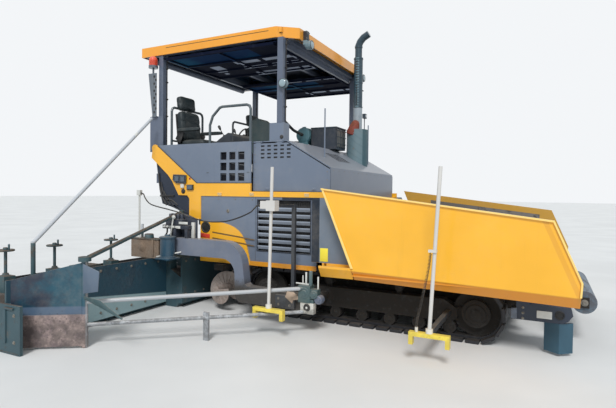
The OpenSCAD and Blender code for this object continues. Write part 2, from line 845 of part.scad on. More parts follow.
module roof_2d(inset) {
  w = roof_half - inset;
  f = roof_front - inset;
  r = roof_rear + inset;
  c = corner - inset * 0.4;
  polygon([[r, -w], [f - c * 1.3, -w], [f, -w + c], [f, w - c], [f - c * 1.3, w], [r, w]]);
}

module canopy_roof() {
  color(roof_orange) {
    difference() {
      translate([0, 0, roof_z])
        linear_extrude(fascia_h)
          roof_2d(0);
      translate([0, 0, roof_z - 1])
        linear_extrude(fascia_h - roof_t + 1)
          roof_2d(fascia_t);
      for (s = [-1, 1])
        block([-2300, min(s * (roof_half - 4), s * (roof_half + 1)), roof_z + 92],
          [-560, max(s * (roof_half - 4), s * (roof_half + 1)), roof_z + 98]);
    }
    // Ribs that tie the skin to the frame below
    for (x = [post_rear_x, -1900, post_front_x - 510, post_front_x])
      block([x - 20, -roof_half + 14, roof_z + 60], [x + 20, roof_half - 14,
        roof_z + fascia_h - roof_t + 1]);
  }
}

awning_rear = post_rear_x + post_w / 2 + 4 + move_gap;
awning_front = post_front_x - post_w / 2 - 4 - move_gap;
awning_z = roof_z - 50;
awning_len = 1290;
awning_out = 650;

// A flat awning with a folded frame and cross ribs under its sheet
module awning(out) {
  y0 = 10 + out;
  rib = 26;
  color(pale) {
    block([awning_rear, y0, awning_z - 12], [awning_front, y0 + awning_len, awning_z]);
    for (f = [0, 0.31, 0.64, 1])
      block([awning_rear + 50, y0 + f * (awning_len - 34), awning_z - 12 - rib],
        [awning_front - 50, y0 + f * (awning_len - 34) + 34, awning_z - 11]);
    for (f = [0, 0.5, 1])
      block([awning_rear + 50 + f * (awning_front - awning_rear - 134), y0 + 1, awning_z - 12 - rib],
        [awning_rear + 84 + f * (awning_front - awning_rear - 134), y0 + awning_len - 1, awning_z - 11]);
  }
}

// Lamps

module lamp_body(c, aim) {
  translate(c)
    rotate([0, 0, aim]) {
      translate([-35, 0, 0])
        rotate([0, 90, 0])
          cylinder(r1 = 45, r2 = 62, h = 60);
      translate([25, 0, 0])
        rotate([0, 90, 0])
          cylinder(r = 62, h = 18);
    }
}

module lamps() {
  h = post_w / 2;
  face = cover_half + band_proud;
  color(pale) {
    round_y(post_front_x + 62, 2990, 62, -post_y - h - 45, -post_y - h);
    lamp_body([roof_front + 70, -roof_half + 320, roof_z - 60], 0);
    lamp_body([roof_front + 70, roof_half - 320, roof_z - 60], 0);
    // Rear lamp clusters on the yellow bands
    both_sides() {
      plate_xz([[-2080, 1768], [-2070, 1836], [-1848, 1826], [-1852, 1716],
        [-2020, 1722]], face, face + 22);
      block([-1833, face, 1622], [-1722, face + 20, 1696]);
      round_y(-1915, 1678, 26, face, face + 16);
    }
  }
  color(frame_dark) {
    block([post_front_x + h, -post_y - h, 2960], [post_front_x + h + 50, -post_y - h + 20, 3020]);
    for (s = [-1, 1]) {
      block([roof_front, s * (roof_half - 320) - 8, roof_z - 60],
        [roof_front + 60, s * (roof_half - 320) + 8, roof_z + 90]);
      block([roof_front, s * (roof_half - 320) - 34, roof_z - 50],
        [roof_front + 55, s * (roof_half - 320) + 34, roof_z + 125]);
    }
  }
}

beacon_x = post_rear_x - 100;
beacon_y = -1340;
beacon_z = 3438;

module beacon() {
  color([0.85, 0.25, 0.12])
    translate([beacon_x, beacon_y, beacon_z])
      rotate_extrude()
        polygon(concat([[0, 0], [62, 0], [62, 80]], arc(0, 80, 62, 15, 90, 6)));
  color(frame_dark) {
    translate([beacon_x, beacon_y, beacon_z - 35])
      cylinder(r = 68, h = 35);
    translate([beacon_x, beacon_y, 2700])
      cylinder(r = 14, h = beacon_z - 2734);
    plate_xz([[beacon_x - 90, 3330], [beacon_x + 62, 3330], [beacon_x + 62, 2700], [beacon_x - 10, 2700]],
      beacon_y - 6, beacon_y + 6);
    block([beacon_x - 20, beacon_y - 6, 2690], [beacon_x + 60, -post_y - 60, 2702]);
  }
}

// Engine top

stack_x = -22;
stack_y = 551;
stack_r = 55;

function hood_z(x) = x < hood_slope_x ? hood_top
  : hood_top - (x - hood_slope_x) * (hood_top - hood_nose) / (hood_front - hood_slope_x);

stack_top = 3930;

module exhaust_stack() {
  foot = 95;
  foot_z = hood_z(stack_x - foot) + 12;
  color(frame_dark) {
    plate_xz([[stack_x - foot, hood_z(stack_x - foot)], [stack_x - foot, foot_z], [stack_x + foot, foot_z],
      [stack_x + foot, hood_z(stack_x + foot)]], stack_y - foot, stack_y + foot);
    translate([stack_x, stack_y, 2600])
      cylinder(r = stack_r + 14, h = 1150);
    // Pipe, with a collar that holds the tip turned forwards
    translate([stack_x, stack_y, foot_z - 1])
      cylinder(r = stack_r, h = stack_top - foot_z);
    translate([stack_x, stack_y, stack_top - 24])
      cylinder(r = stack_r + 7, h = 24);
    stand_xz(stack_y)
      mitred([[stack_x, stack_top - 12], [stack_x, stack_top + 12], [stack_x + 26, stack_top + 72],
        [stack_x + 80, stack_top + 130], [stack_x + 170, stack_top + 178]], stack_r);
  }
}

module muffler_shield() {
  r = 172;
  top = 2600;
  lamp = [stack_x + 146, stack_y - 90, top + 190];
  color(steel) {
    // Working lamp on a thin arm
    rod([lamp[0], lamp[1], top - 60], lamp, 7);
    block(lamp + [-22, -38, -20], lamp + [26, 38, 50]);
    difference() {
      translate([stack_x, stack_y, hood_nose])
        cylinder(r = r, h = top - hood_nose);
      translate([stack_x, stack_y, hood_nose - 1])
        cylinder(r = r - 8, h = top - hood_nose + 2);
      block([stack_x - 2 * r, stack_y, hood_nose - 1], [stack_x + 2 * r, stack_y + 2 * r, top + 1]);
      plate_xz([[-900, 1500], [-900, hood_top], [hood_slope_x, hood_top], [hood_front, hood_nose],
        [hood_front, 1500]],
        stack_y - 2 * r, stack_y + 2 * r);
    }
  }
}

module air_cleaner() {
  r = 116;
  x = -715;
  z = hood_top + 228;
  color(frame_dark) {
    round_y(x, z, r, 0, 400);
    for (i = [0 : 4])
      round_y(x, z, r + 8, 30 + i * 80, 50 + i * 80);
    for (y = [0, 370])
      block([x - 80, y, hood_top], [x + 80, y + 30, z - 60]);
    // Box of the second filter, with a row of deep ribs
    block([-575, 20, hood_top], [-170, 400, hood_top + 325]);
    for (i = [0 : 5])
      block([-587, 34 + i * 64, hood_top + 30], [-158, 60 + i * 64, hood_top + 315]);
  }
}

// Hopper

module hopper_rear() {
  side = 1520;
  color(yellow) {
    difference() {
      block([hopper_wall_x, -side, fender_z + 2], [hopper_wall_x + wall_t, side, cover_top]);
      block([hopper_wall_x - 1, -tunnel_half - web_t - 5, fender_z],
        [hopper_wall_x + wall_t + 1, tunnel_half + web_t + 5, tunnel_roof]);
    }
    block([hood_front - 40, -cover_half + cover_t, cover_top - 12],
      [hopper_wall_x + 1, cover_half - cover_t, cover_top]);
    // Shelf and the fixed rear end of the lower band
    both_sides() {
      block([400, side - 12, 680], [794, wing_half - 52, 690]);
      block([400, side - 12, 680], [794, side, 776]);
      plate_yz(band_profile(767), 400, 794);
    }
  }
  color(panel_grey)
    both_sides()
      plate_xz([[cover_front + 12, cover_top], [439, cover_top], [790, 775],
        [cover_front + 12, 775]], side - 12, side);
}

slat_pitch = 290;

module conveyor() {
  x0 = tunnel_rear + 10;
  x1 = chassis_front - wall_t - 10;
  color(steel) {
    block([x0, -tunnel_half + 4, tunnel_z], [x1, tunnel_half - 4, tunnel_z + 12]);
    block([x0, -25, tunnel_z + 10], [x1, 25, tunnel_z + 120]);
    for (s = [-1, 1]) {
      for (x = [x0 + 60 : slat_pitch : x1 - 60])
        block([x, min(s * 40, s * 600), tunnel_z + 11], [x + 45, max(s * 40, s * 600), tunnel_z + 45]);
      for (y = [90, 540])
        block([x0 + 20, min(s * y, s * (y + 40)), tunnel_z + 11],
          [x1 - 20, max(s * y, s * (y + 40)), tunnel_z + 35]);
    }
  }
}

wing_pts_front = wing_rear + wing_top_len;
wing_rim = 16;

// Section of the inclined band under a wing's outer wall, with its upper edge at z
function band_profile(z) = [[wing_half, z + 8], [wing_half, z - 18], [wing_half - 70, z - 125],
  [wing_half - 90, z - 125], [wing_half - wing_t, z - 16], [wing_half - wing_t, z + 8]];

module hopper_wing() {
  lower_rear = 767;
  lower_front = 690;
  nose_x = wing_pts_front + 238;
  color(yellow)
    difference() {
      union() {
        // Outer wall
        plate_xz([[wing_rear, wing_z_rear], [wing_pts_front, wing_z_front], [nose_x, 821],
          [nose_x - 8, lower_front],
          [792, lower_rear + 8]], wing_half - wing_t, wing_half);
        // Folded rim along the top, the front edge and the rear edge
        plate_xz([[wing_rear, wing_z_rear], [wing_rear + 3, wing_z_rear - wing_rim],
          [wing_pts_front - 10, wing_z_front - wing_rim], [nose_x - wing_rim, 817],
          [nose_x - wing_rim - 8, lower_front], [nose_x - 8, lower_front], [nose_x, 821],
          [wing_pts_front, wing_z_front]], wing_half - 5, wing_half + 20);
        plate_xz([[wing_rear, wing_z_rear], [wing_rear + 24, wing_z_rear], [822, lower_rear + 8],
          [792, lower_rear + 8]],
          wing_half - 5, wing_half + 14);
        // Inclined lower band
        translate([800, 0, lower_rear])
          rotate([0, 1.7, 0])
            plate_yz(band_profile(0), 0, nose_x - 812);
        // Floor and the tube sections of the hinge
        block([wing_rear, wing_hinge_y + 40, wing_floor - wing_t],
          [2440, wing_half - wing_t + 1, wing_floor]);
        for (f = [0, 1]) {
          a = wing_rear + wing_lugs[f] * wing_top_len + wing_lug_w + move_gap;
          b = wing_rear + wing_lugs[f + 1] * wing_top_len - move_gap;
          round_x(wing_hinge_y, wing_hinge_z, 32, a, b);
          block([a, wing_hinge_y, wing_floor - wing_t], [b, wing_hinge_y + 41, wing_floor]);
        }
        // Front gusset that closes the corner of floor and wall
        plate_yz([[wing_half - wing_t + 1, wing_floor], [wing_half - 400, wing_floor],
          [wing_half - wing_t + 1, 1100]], 2424, 2440);
        // Rear gusset, inboard of the fixed side plate
        plate_yz([[1440, wing_floor], [wing_hinge_y + 60, wing_floor],
          [1440, 1350]], wing_rear, wing_rear + wing_t);
      }
      round_x(wing_hinge_y, wing_hinge_z, wing_pin_r + seat_gap, wing_rear - 1, wing_pts_front);
      // Space for the fixed side plate
      block([wing_rear - 60, 1450, fender_z - 100], [810, wing_half - wing_t - 0.5, 1600]);
      block([wing_rear - 60, 1450, fender_z - 100], [800, wing_half + 1, lower_rear + 9]);
    }
}

module track_scrapers() {
  color(dirt_teal)
    both_sides() {
      plate_xz([[2390, 330], [2860, 330], [2915, 360], [2955, 420], [2935, 490], [2440, 500],
        [2440, 420], [2390, 420]], 1060, 1300);
      // Plough of two plates that meet in an upright edge
      translate([0, 0, 30])
        linear_extrude(301)
          polygon([[2700, 1212], [2835, 1310], [2960, 1212], [2950, 1196], [2835, 1288], [2710, 1196]]);
      block([chassis_front, 700, 520], [2560, 1300, 600]);
      block([2440, 1060, 495], [2560, 1300, 525]);
    }
}

// Augers

auger_in = 130;
shaft_r = 45;

module auger_beam() {
  color(frame_dark) {
    block([auger_x - 60, -auger_in, 120], [auger_x + 60, auger_in, 550]);
    block([auger_x - 90, -1450, 545], [auger_x + 60, 1450, 625]);
    for (s = [-1, 1])
      block([auger_x - 90, s * 870 - 15, 620], [auger_x + 100, s * 870 + 15, chassis_z3]);
  }
}

module auger(hand) {
  wedge = 16;
  flight = auger_end - auger_in - 30;
  turns = flight / auger_pitch;
  color(steel)
    translate([auger_x, auger_end, auger_z])
      rotate([90, 0, 0]) {
        cylinder(r = shaft_r, h = auger_end - auger_in - seat_gap);
        linear_extrude(flight, twist = hand * 360 * turns, slices = round(18 * turns), $fn = 4)
          polygon(concat([[0, 0]], arc(0, 0, auger_d / 2, -wedge / 2, wedge / 2, 2)));
      }
}

// Push beam

push_half = 800;
roller_rad = 120;
push_roller_x = front_x - roller_rad;

module push_beam() {
  ear = 20;
  color(frame_dark)
    difference() {
      union() {
        block([push_pivot_x + 60, -push_half, push_z0 + 10], [push_pivot_x + 90, push_half, push_z1 - 10]);
        block([push_pivot_x - 70, -90, push_z0], [push_pivot_x + 90, 90, push_z1]);
        for (y = [-push_half, -10, push_half - ear])
          block([push_pivot_x + 60, y, push_z0 + 40], [push_roller_x + 45, y + ear, push_z1 - 40]);
        for (s = [-1, 1])
          round_y(push_roller_x, (push_z0 + push_z1) / 2, 22, min(s * 9, s * (push_half - 1)),
            max(s * 9, s * (push_half - 1)));
      }
      translate([push_pivot_x, 0, push_z0 - 1])
        cylinder(r = pin_r + seat_gap, h = push_z1 - push_z0 + 2);
    }
}

module push_roller() {
  color(steel)
    difference() {
      round_y(push_roller_x, (push_z0 + push_z1) / 2, roller_rad, 16, push_half - ear_gap);
      round_y(push_roller_x, (push_z0 + push_z1) / 2, 22 + seat_gap, 15, push_half);
    }
}

ear_gap = 26;

// Tow arms: drawn in X and Z

arm_end = -1760;

module tow_arm() {
  y0 = arm_y - arm_w / 2;
  y1 = arm_y + arm_w / 2;
  color(panel_grey)
    difference() {
      plate_xz(concat([[arm_end, 762], [arm_end, 984]], arc(-940, 668, 312, 90, 8, 8),
        [[-600, 470], [-560, 440], [150, 415]], arc(tow_x, tow_z, 95, 110, -110, 10),
        [[150, 235], [-680, 235], [-742, 300]], arc(-940, 572, 190, 0, 90, 8)), y0, y1);
      round_y(tow_x, tow_z, tow_pin_r + seat_gap, y0 - 1, y1 + 1);
    }
}

// Screed

shoe_h = 20;
screed_rear = screed_front - screed_deep;

// Section of the heated screed plate, tamper and casing, drawn in X and Z
module screed_section(x0, y0, y1, top) {
  plate_xz([[x0, 60], [x0, top], [x0 - 25, top], [x0 - 25, 420], [x0 - 200, 520],
    [x0 - screed_deep + 90, 520],
    [x0 - screed_deep, 440], [x0 - screed_deep, 70], [x0 - screed_deep + 60, 0], [x0 - 90, 0],
      [x0 - 60, 60]], y0, y1);
}

module screed_main() {
  color(dirt_teal) {
    screed_section(screed_front, -main_half, main_half, screed_top);
    // Lugs that bolt to the tow arms and carry the lifting rods
    for (s = [-1, 1]) {
      block([lift_eye_x - 60, s * lift_y - 60, 440], [lift_eye_x + 60, s * lift_y - 32, lift_eye_z + 50]);
      block([lift_eye_x - 60, s * lift_y + 32, 440], [lift_eye_x + 60, s * lift_y + 60, lift_eye_z + 50]);
      round_y(lift_eye_x, lift_eye_z, lift_pin_r, s * lift_y - 55, s * lift_y + 55);
    }
  }
}

module screed_extension() {
  x0 = screed_front - extension_step;
  color(dirt_teal) {
    screed_section(x0, main_half + 0.5, screed_half - 30, screed_top);
    block([x0 - screed_deep - 60, screed_half - 30, 0], [x0 + 260, screed_half, 480]);
  }
}

// Depth screw with its casing and hand wheel, standing on the casing at x and y
module depth_screw(x, y) {
  block([x - 75, y - 60, casing_z], [x + 75, y + 60, casing_z + 170]);
  translate([x, y, casing_z + 169])
    cylinder(r = 16, h = 290);
  translate([x, y, casing_z + 430])
    cylinder(r = 70, h = 14);
}

casing_z = 520;
pipe_foot = [-1835, 1485];
pipe_top = 1310;

module screed_fittings() {
  ext_x = screed_front - extension_step - 360;
  out = arm_y + arm_w / 2;
  color(dirt_teal) {
    both_sides() {
      // Bracket that bolts the screed to the tow arm
      block([-2260, main_half - 130, casing_z], [-1960, main_half, screed_top + 2]);
      block([-2330, main_half - 130, screed_top + 1], [arm_end, out, screed_top + 31]);
      block([arm_end - 60, arm_y - arm_w / 2, screed_top + 30], [arm_end, out, 950]);
      // Pivot canister and the housing of the outer depth screw
      translate([-2020, 1495, screed_top + 30])
        cylinder(r = 100, h = 218);
      block([-2400, out - 1, screed_top + 1], [-1900, out + 106, 950]);
      translate([-2250, out + 52, 949])
        cylinder(r = 18, h = 200);
      depth_screw(-2150, 500);
      depth_screw(ext_x, 2200);
      depth_screw(ext_x, 3000);
      depth_screw(ext_x, 3560);
      // Pipe that props the guide post
      translate([pipe_foot[0], pipe_foot[1], screed_top + 30])
        cylinder(r = 30, h = pipe_top - screed_top);
      rod([pipe_foot[0], pipe_foot[1], pipe_top], [brace_post[0] - 11, brace_post[1] - 52, 912], 24);
      difference() {
        translate([brace_post[0], brace_post[1], 880])
          cylinder(r = 62, h = 45);
        translate([brace_post[0], brace_post[1], 879])
          cylinder(r = 33, h = 47);
      }
      // Heating boxes
      block([ext_x - 110, 2450, casing_z], [ext_x + 110, 2750, casing_z + 150]);
      // Crown adjuster
      round_y(-2060, casing_z + 60, 34, 40, 330);
      block([-2110, 30, casing_z], [-2010, 70, casing_z + 110]);
      block([-2110, 300, casing_z], [-2010, 340, casing_z + 110]);
    }
    round_y(-2060, casing_z + 60, 22, -50, 50);
    block([-2260, -260, casing_z], [-2130, 260, casing_z + 210]);
  }
  color(pale) {
    // Stand of the sensor's connector box, on the right depth screw's housing
    translate([-2305, -out - 52, 949])
      cylinder(r = 13, h = 590);
    block([-2335, -out - 74, 1538], [cable_route[len(cable_route) - 1][0], -out - 30, 1612]);
    // Levelling pole of the right side, held by a stand on the extension
    translate([-2250, -3350, casing_z])
      cylinder(r = 24, h = 520);
    rod([-2250, -3350, 1026], [-2404, -1475, 2640], 21);
  }
}

module screed_walkway() {
  x1 = screed_front - extension_step - screed_deep - 50;
  half = screed_half - 200;
  color(frame_dark) {
    block([-rear_x, -half, 440], [x1, half, 465]);
    block([-rear_x, -half, 464], [-rear_x + 10, half, 520]);
    for (f = [-0.94, -0.72, -0.5, -0.25, 0, 0.25, 0.5, 0.72, 0.94])
      block([-rear_x + 210, f * half - 20, 400],
        [x1 + (abs(f) * half < main_half ? extension_step + 50 : 50), f * half + 20, 441]);
  }
}

brace_post = [-1476, 3316];

leg_at = 0.49;

// Guide plates and their post, and the two braces to the tow point
module guide() {
  x0 = screed_front - extension_step;
  out = arm_y + arm_w / 2;
  a = [x0 - 40, screed_half - 65, 0];
  d = [brace_post[0] - a[0], brace_post[1] - a[1], 0];
  low_a = [350, out + 56, 262];
  low_b = [brace_post[0], brace_post[1], 232];
  leg = low_a + leg_at * (low_b - low_a);
  color(dirt_teal) {
    // Upper plate falls towards the end gate, lower plate is thicker
    difference() {
      translate(a)
        rotate([0, 0, atan2(d[1], d[0])]) {
          plate_xz([[0, 330], [0, 690], [norm(d), 872], [norm(d), 330]], 0, 16);
          plate_xz([[0, 24], [0, 345], [norm(d), 345], [norm(d), 24]], 0, 32);
        }
      block([x0 - 200, brace_post[1], 10], [x0, screed_half, 900]);
    }
    translate([brace_post[0], brace_post[1], 6])
      cylinder(r = 32, h = 914);
  }
  color(pale) {
    rod([300, out + 56, 520], [brace_post[0], brace_post[1], 465], 22);
    rod(low_a, low_b, 20);
    // Slotted foot under the lower brace
    block([leg[0] - 34, leg[1] - 12, 0], [leg[0] + 34, leg[1] + 12, leg[2] + 60]);
    // Bracket over the tow pin, with its gear boxes
    block([-130, out, 250], [120, out + 50, 400]);
    block([80, out, 362], [350, out + 50, 401]);
    block([204, out, 362], [352, out + 110, 555]);
    block([351, out + 20, 410], [440, out + 100, 520]);
    block([228, out + 32, 236], [392, out + 100, 401]);
  }
}

module screed_braces() {
  both_sides()
    guide();
}

// Sensors

mast_x = -5;
arm_in = arm_y - arm_w / 2;
pole_y = 2149;

module sensor_bar(x) {
  translate([x, -pole_y, 328])
    cylinder(r = 34, h = 44);
  block([x - 190, -pole_y - 30, 290], [x + 190, -pole_y + 30, 330]);
  for (o = [-190, 150])
    block([x + o, -pole_y - 30, 210], [x + o + 40, -pole_y + 30, 292]);
}

module sensor_mast() {
  color(frame_dark) {
    block([mast_x - 22, -arm_in, 300], [mast_x + 22, -arm_in + 44, 1460]);
    block([mast_x - 15, -pole_y, 1430], [mast_x + 15, -arm_in, 1460]);
  }
  color(pale) {
    rod([mast_x, -pole_y, 329], [mast_x + 30, -pole_y, 1876], 18);
    // Clamp box of the level sensor
    block([mast_x - 20, -pole_y - 46, 1398], [mast_x + 92, -pole_y + 46, 1512]);
    block([mast_x - 104, -pole_y - 30, 1420], [mast_x - 19, -pole_y + 30, 1505]);
  }
  color(yellow)
    sensor_bar(mast_x);
}

front_pole_x = 1745;
front_pole_drop = 30;

module front_sensor_pole() {
  x = front_pole_x;
  curl = curly_route[0];
  plug = curly_route[len(curly_route) - 1];
  translate([0, 0, -front_pole_drop]) {
    color(frame_dark)
      block([x - 25, -pole_y, 300], [x + 25, -track_y - frame_half, 350]);
    color(yellow)
      sensor_bar(x);
  }
  color(pale) {
    rod([x, -pole_y, 329 - front_pole_drop], [x + 78, -pole_y, 1857], 18);
    // Clip that holds the curly cable's upper end, and the socket at its lower end
    block([curl[0] - 16, curl[1] - 16, curl[2]], [curl[0] + 60, curl[1] + 30, curl[2] + 25]);
    translate([plug[0], plug[1], 329 - front_pole_drop])
      cylinder(r = 15, h = plug[2] - 329 + front_pole_drop);
  }
}

// Cables

module sensor_cable() {
  color(rubber)
    cord(cable_route, 8, 42);
}

module curly_cable_front() {
  color(rubber)
    cord(curly_route, 13, 36);
}

// Lifting cylinders

lift_y = 1200;
lift_x = -1950;
lift_top = 1700;
lift_eye_x = -2050;
lift_eye_z = 800;
lift_pin_r = 25;
lift_rod_r = 25;
// The rod's eye drifts by up to 5.4 mm round its pin as the screed rises
eye_play = 6;
lift_d = [lift_eye_x - lift_x, 0, lift_eye_z - lift_top];
lift_len = norm(lift_d);
lift_dir = lift_d / lift_len;
barrel_len = 500;

module lift_barrel() {
  top = [lift_x, lift_y, lift_top];
  color(frame_dark)
    difference() {
      union() {
        rod(top + lift_dir * 20, top + lift_dir * barrel_len, 48);
        round_y(lift_x, lift_top, 44, lift_y - 34, lift_y + 34);
      }
      round_y(lift_x, lift_top, lift_pin_r + seat_gap, lift_y - 50, lift_y + 50);
      rod(top + lift_dir * 160, top + lift_dir * (barrel_len + 1), lift_rod_r + seat_gap);
    }
}

module lift_rod() {
  top = [lift_x, lift_y, lift_top];
  eye = [lift_eye_x, lift_y, lift_eye_z];
  color(pale)
    difference() {
      union() {
        rod(top + lift_dir * 420, eye - lift_dir * 38, lift_rod_r);
        round_y(lift_eye_x, lift_eye_z, 48, lift_y - 26, lift_y + 26);
      }
      round_y(lift_eye_x, lift_eye_z, lift_pin_r + eye_play, lift_y - 50, lift_y + 50);
    }
}

chassis();
engine_block();
body_frame();
track();  // track_left
right_side() track();  // track_right
track_frame();  // track_frame_left
right_side() track_frame();  // track_frame_right
side_cover();  // side_cover_left
right_side() side_cover();  // side_cover_right
upper_panel();  // upper_panel_left
right_side() upper_panel();  // upper_panel_right
side_band();  // side_band_left
right_side() side_band();  // side_band_right
hood();
hood_door();  // hood_door_left
right_side() hood_door();  // hood_door_right
deck();
rear_valves();
console();
seat();  // seat_left
right_side() seat();  // seat_right
handrails();
canopy_frame();
canopy_roof();
awning(awning_out);  // awning_left
right_side() awning(0);  // awning_right
lamps();
beacon();
exhaust_stack();
muffler_shield();
air_cleaner();
hopper_rear();
conveyor();
track_scrapers();
auger_beam();
auger(1);  // auger_left
right_side() auger(1);  // auger_right
hopper_wing();  // hopper_wing_left
right_side() hopper_wing();  // hopper_wing_right
push_beam();
push_roller();  // push_roller_left
right_side() push_roller();  // push_roller_right
tow_arm();  // tow_arm_left
right_side() tow_arm();  // tow_arm_right
screed_main();
screed_extension();  // screed_extension_left
right_side() screed_extension();  // screed_extension_right
screed_fittings();
screed_walkway();
screed_braces();
sensor_mast();
front_sensor_pole();
lift_barrel();  // lift_barrel_left
right_side() lift_barrel();  // lift_barrel_right
lift_rod();  // lift_rod_left
right_side() lift_rod();  // lift_rod_right
tunnel_plates();
side_plates();
sensor_cable();
curly_cable_front();
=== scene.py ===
# %% [markdown]
# # A tracked asphalt paver
# The frame brings in every rigid part of the machine in its own place, in metres: +X points
# to the hopper, +Y to the machine's left, +Z up. This lesson gives those parts their paint,
# steel, rubber and dirt, and adds what is small or soft: seats, bolts, hoses, hinges, cables.
# The helpers come first, because every later cell leans on them.

# %% The frame, loaded in place
import math

import bpy
import bmesh
from mathutils import Matrix, Vector


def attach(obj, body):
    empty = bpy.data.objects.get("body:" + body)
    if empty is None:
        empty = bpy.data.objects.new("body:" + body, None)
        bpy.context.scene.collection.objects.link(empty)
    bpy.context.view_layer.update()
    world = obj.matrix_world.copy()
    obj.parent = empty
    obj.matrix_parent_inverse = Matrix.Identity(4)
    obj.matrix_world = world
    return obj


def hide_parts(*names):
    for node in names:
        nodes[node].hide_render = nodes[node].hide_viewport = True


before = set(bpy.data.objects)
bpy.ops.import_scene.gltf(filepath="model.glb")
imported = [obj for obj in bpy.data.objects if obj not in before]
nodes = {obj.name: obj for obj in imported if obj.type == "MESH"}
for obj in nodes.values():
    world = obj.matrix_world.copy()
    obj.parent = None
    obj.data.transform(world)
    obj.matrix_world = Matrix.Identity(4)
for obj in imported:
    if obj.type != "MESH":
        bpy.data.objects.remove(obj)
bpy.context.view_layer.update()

# %% [markdown]
# ## The camera
# The photographer stood on the machine's right, about two metres ahead of its middle, with
# the lens at head height. The place, turn and lens were worked out from edges whose real
# place is known, so the camera is written down as three axes and a point.

# %% Camera at the photographer's place
turn, tip, roll = (math.radians(v) for v in (26.662, -1.315, 0.649))
ahead = Vector((-math.sin(turn) * math.cos(tip), math.cos(turn) * math.cos(tip), math.sin(tip)))
level = Vector((math.cos(turn), math.sin(turn), 0))
upright = level.cross(ahead)
across = math.cos(roll) * level + math.sin(roll) * upright
above = -math.sin(roll) * level + math.cos(roll) * upright
axes = Matrix((across, above, -ahead)).transposed().to_4x4()
camera_data = bpy.data.cameras.new("photo_camera")
camera_data.sensor_width = 36
camera_data.lens = 476.87 / 616 * 36
camera_data.clip_start = 0.1
camera_data.clip_end = 300
camera = bpy.data.objects.new("photo_camera", camera_data)
camera.matrix_world = Matrix.Translation((2.706, -6.613, 1.597)) @ axes
bpy.context.scene.collection.objects.link(camera)
bpy.context.scene.camera = camera
print("lens", round(camera_data.lens, 2), "mm")

# %% [markdown]
# ## Modelling by hand, in code
# Blender's operators act on whatever is selected, and the parts that were just loaded are
# all selected. So each new piece starts with an empty selection, and its faces or edges are
# picked by place or direction before an operator shapes them. The helpers below do only
# that bookkeeping; the shaping itself is always a plain edit-mode operator.

# %% Helpers for pieces
pieces = []


def start_clean():
    if bpy.context.object and bpy.context.object.mode != "OBJECT":
        bpy.ops.object.mode_set(mode="OBJECT")
    bpy.ops.object.select_all(action="DESELECT")


def only(piece):
    start_clean()
    piece.select_set(True)
    bpy.context.view_layer.objects.active = piece
    return piece


def pick(piece, kind, test):
    """In edit mode, select the faces, edges or vertices for which test(middle, normal) holds."""
    bpy.ops.mesh.select_mode(type={"faces": "FACE", "edges": "EDGE", "verts": "VERT"}[kind])
    bpy.ops.mesh.select_all(action="DESELECT")
    mesh = bmesh.from_edit_mesh(piece.data)
    count = 0
    for e in getattr(mesh, kind):
        if kind == "faces":
            hit = test(e.calc_center_median(), e.normal)
        elif kind == "edges":
            hit = test((e.verts[0].co + e.verts[1].co) / 2, (e.verts[1].co - e.verts[0].co).normalized())
        else:
            hit = test(e.co, e.normal)
        if hit:
            e.select_set(True)
            count += 1
    mesh.select_flush_mode()
    bmesh.update_edit_mesh(piece.data)
    return count


def edit(piece):
    only(piece)
    bpy.ops.object.mode_set(mode="EDIT")
    return piece


def done(piece):
    bpy.ops.object.mode_set(mode="OBJECT")
    return piece


def block(name, low, high, bevel=0.0, segments=2):
    """A rounded box between two corners, as a start for shaping."""
    start_clean()
    middle = [(a + b) / 2 for a, b in zip(low, high)]
    bpy.ops.mesh.primitive_cube_add(size=1, location=middle)
    piece = bpy.context.object
    piece.name = name
    piece.scale = [b - a for a, b in zip(low, high)]
    bpy.ops.object.transform_apply(location=True, rotation=True, scale=True)
    if bevel:
        edit(piece)
        bpy.ops.mesh.select_all(action="SELECT")
        bpy.ops.mesh.bevel(offset=bevel, segments=segments, affect="EDGES")
        done(piece)
    return piece


def bar(name, a, b, r, sides=16, bevel=0.0):
    """A round bar from a to b."""
    start_clean()
    a, b = Vector(a), Vector(b)
    run = b - a
    bpy.ops.mesh.primitive_cylinder_add(vertices=sides, radius=r, depth=run.length, location=(a + b) / 2,
                                        rotation=run.to_track_quat("Z", "Y").to_euler())
    piece = bpy.context.object
    piece.name = name
    bpy.ops.object.transform_apply(location=True, rotation=True, scale=True)
    if bevel:
        way = run.normalized()
        edit(piece)
        pick(piece, "faces", lambda m, n: abs(n.dot(way)) > 0.9)
        bpy.ops.mesh.bevel(offset=bevel, segments=2, affect="EDGES")
        done(piece)
    return piece


def join(name, parts):
    """Several meshes become one piece."""
    start_clean()
    for p in parts:
        p.select_set(True)
    bpy.context.view_layer.objects.active = parts[0]
    if len(parts) > 1:
        bpy.ops.object.join()
    piece = bpy.context.object
    piece.name = name
    return piece


def copy_of(piece, move=(0, 0, 0), mirror=False, name=None):
    """A copy with a mesh of its own, shifted or mirrored to the machine's other side."""
    twin = piece.copy()
    twin.data = piece.data.copy()
    twin.name = name or piece.name + "_copy"
    bpy.context.scene.collection.objects.link(twin)
    if mirror:
        twin.data.transform(Matrix.Diagonal((1, -1, 1, 1)))
        edit(twin)
        bpy.ops.mesh.select_all(action="SELECT")
        bpy.ops.mesh.flip_normals()
        done(twin)
    twin.data.transform(Matrix.Translation(move))
    twin.data.update()
    return twin


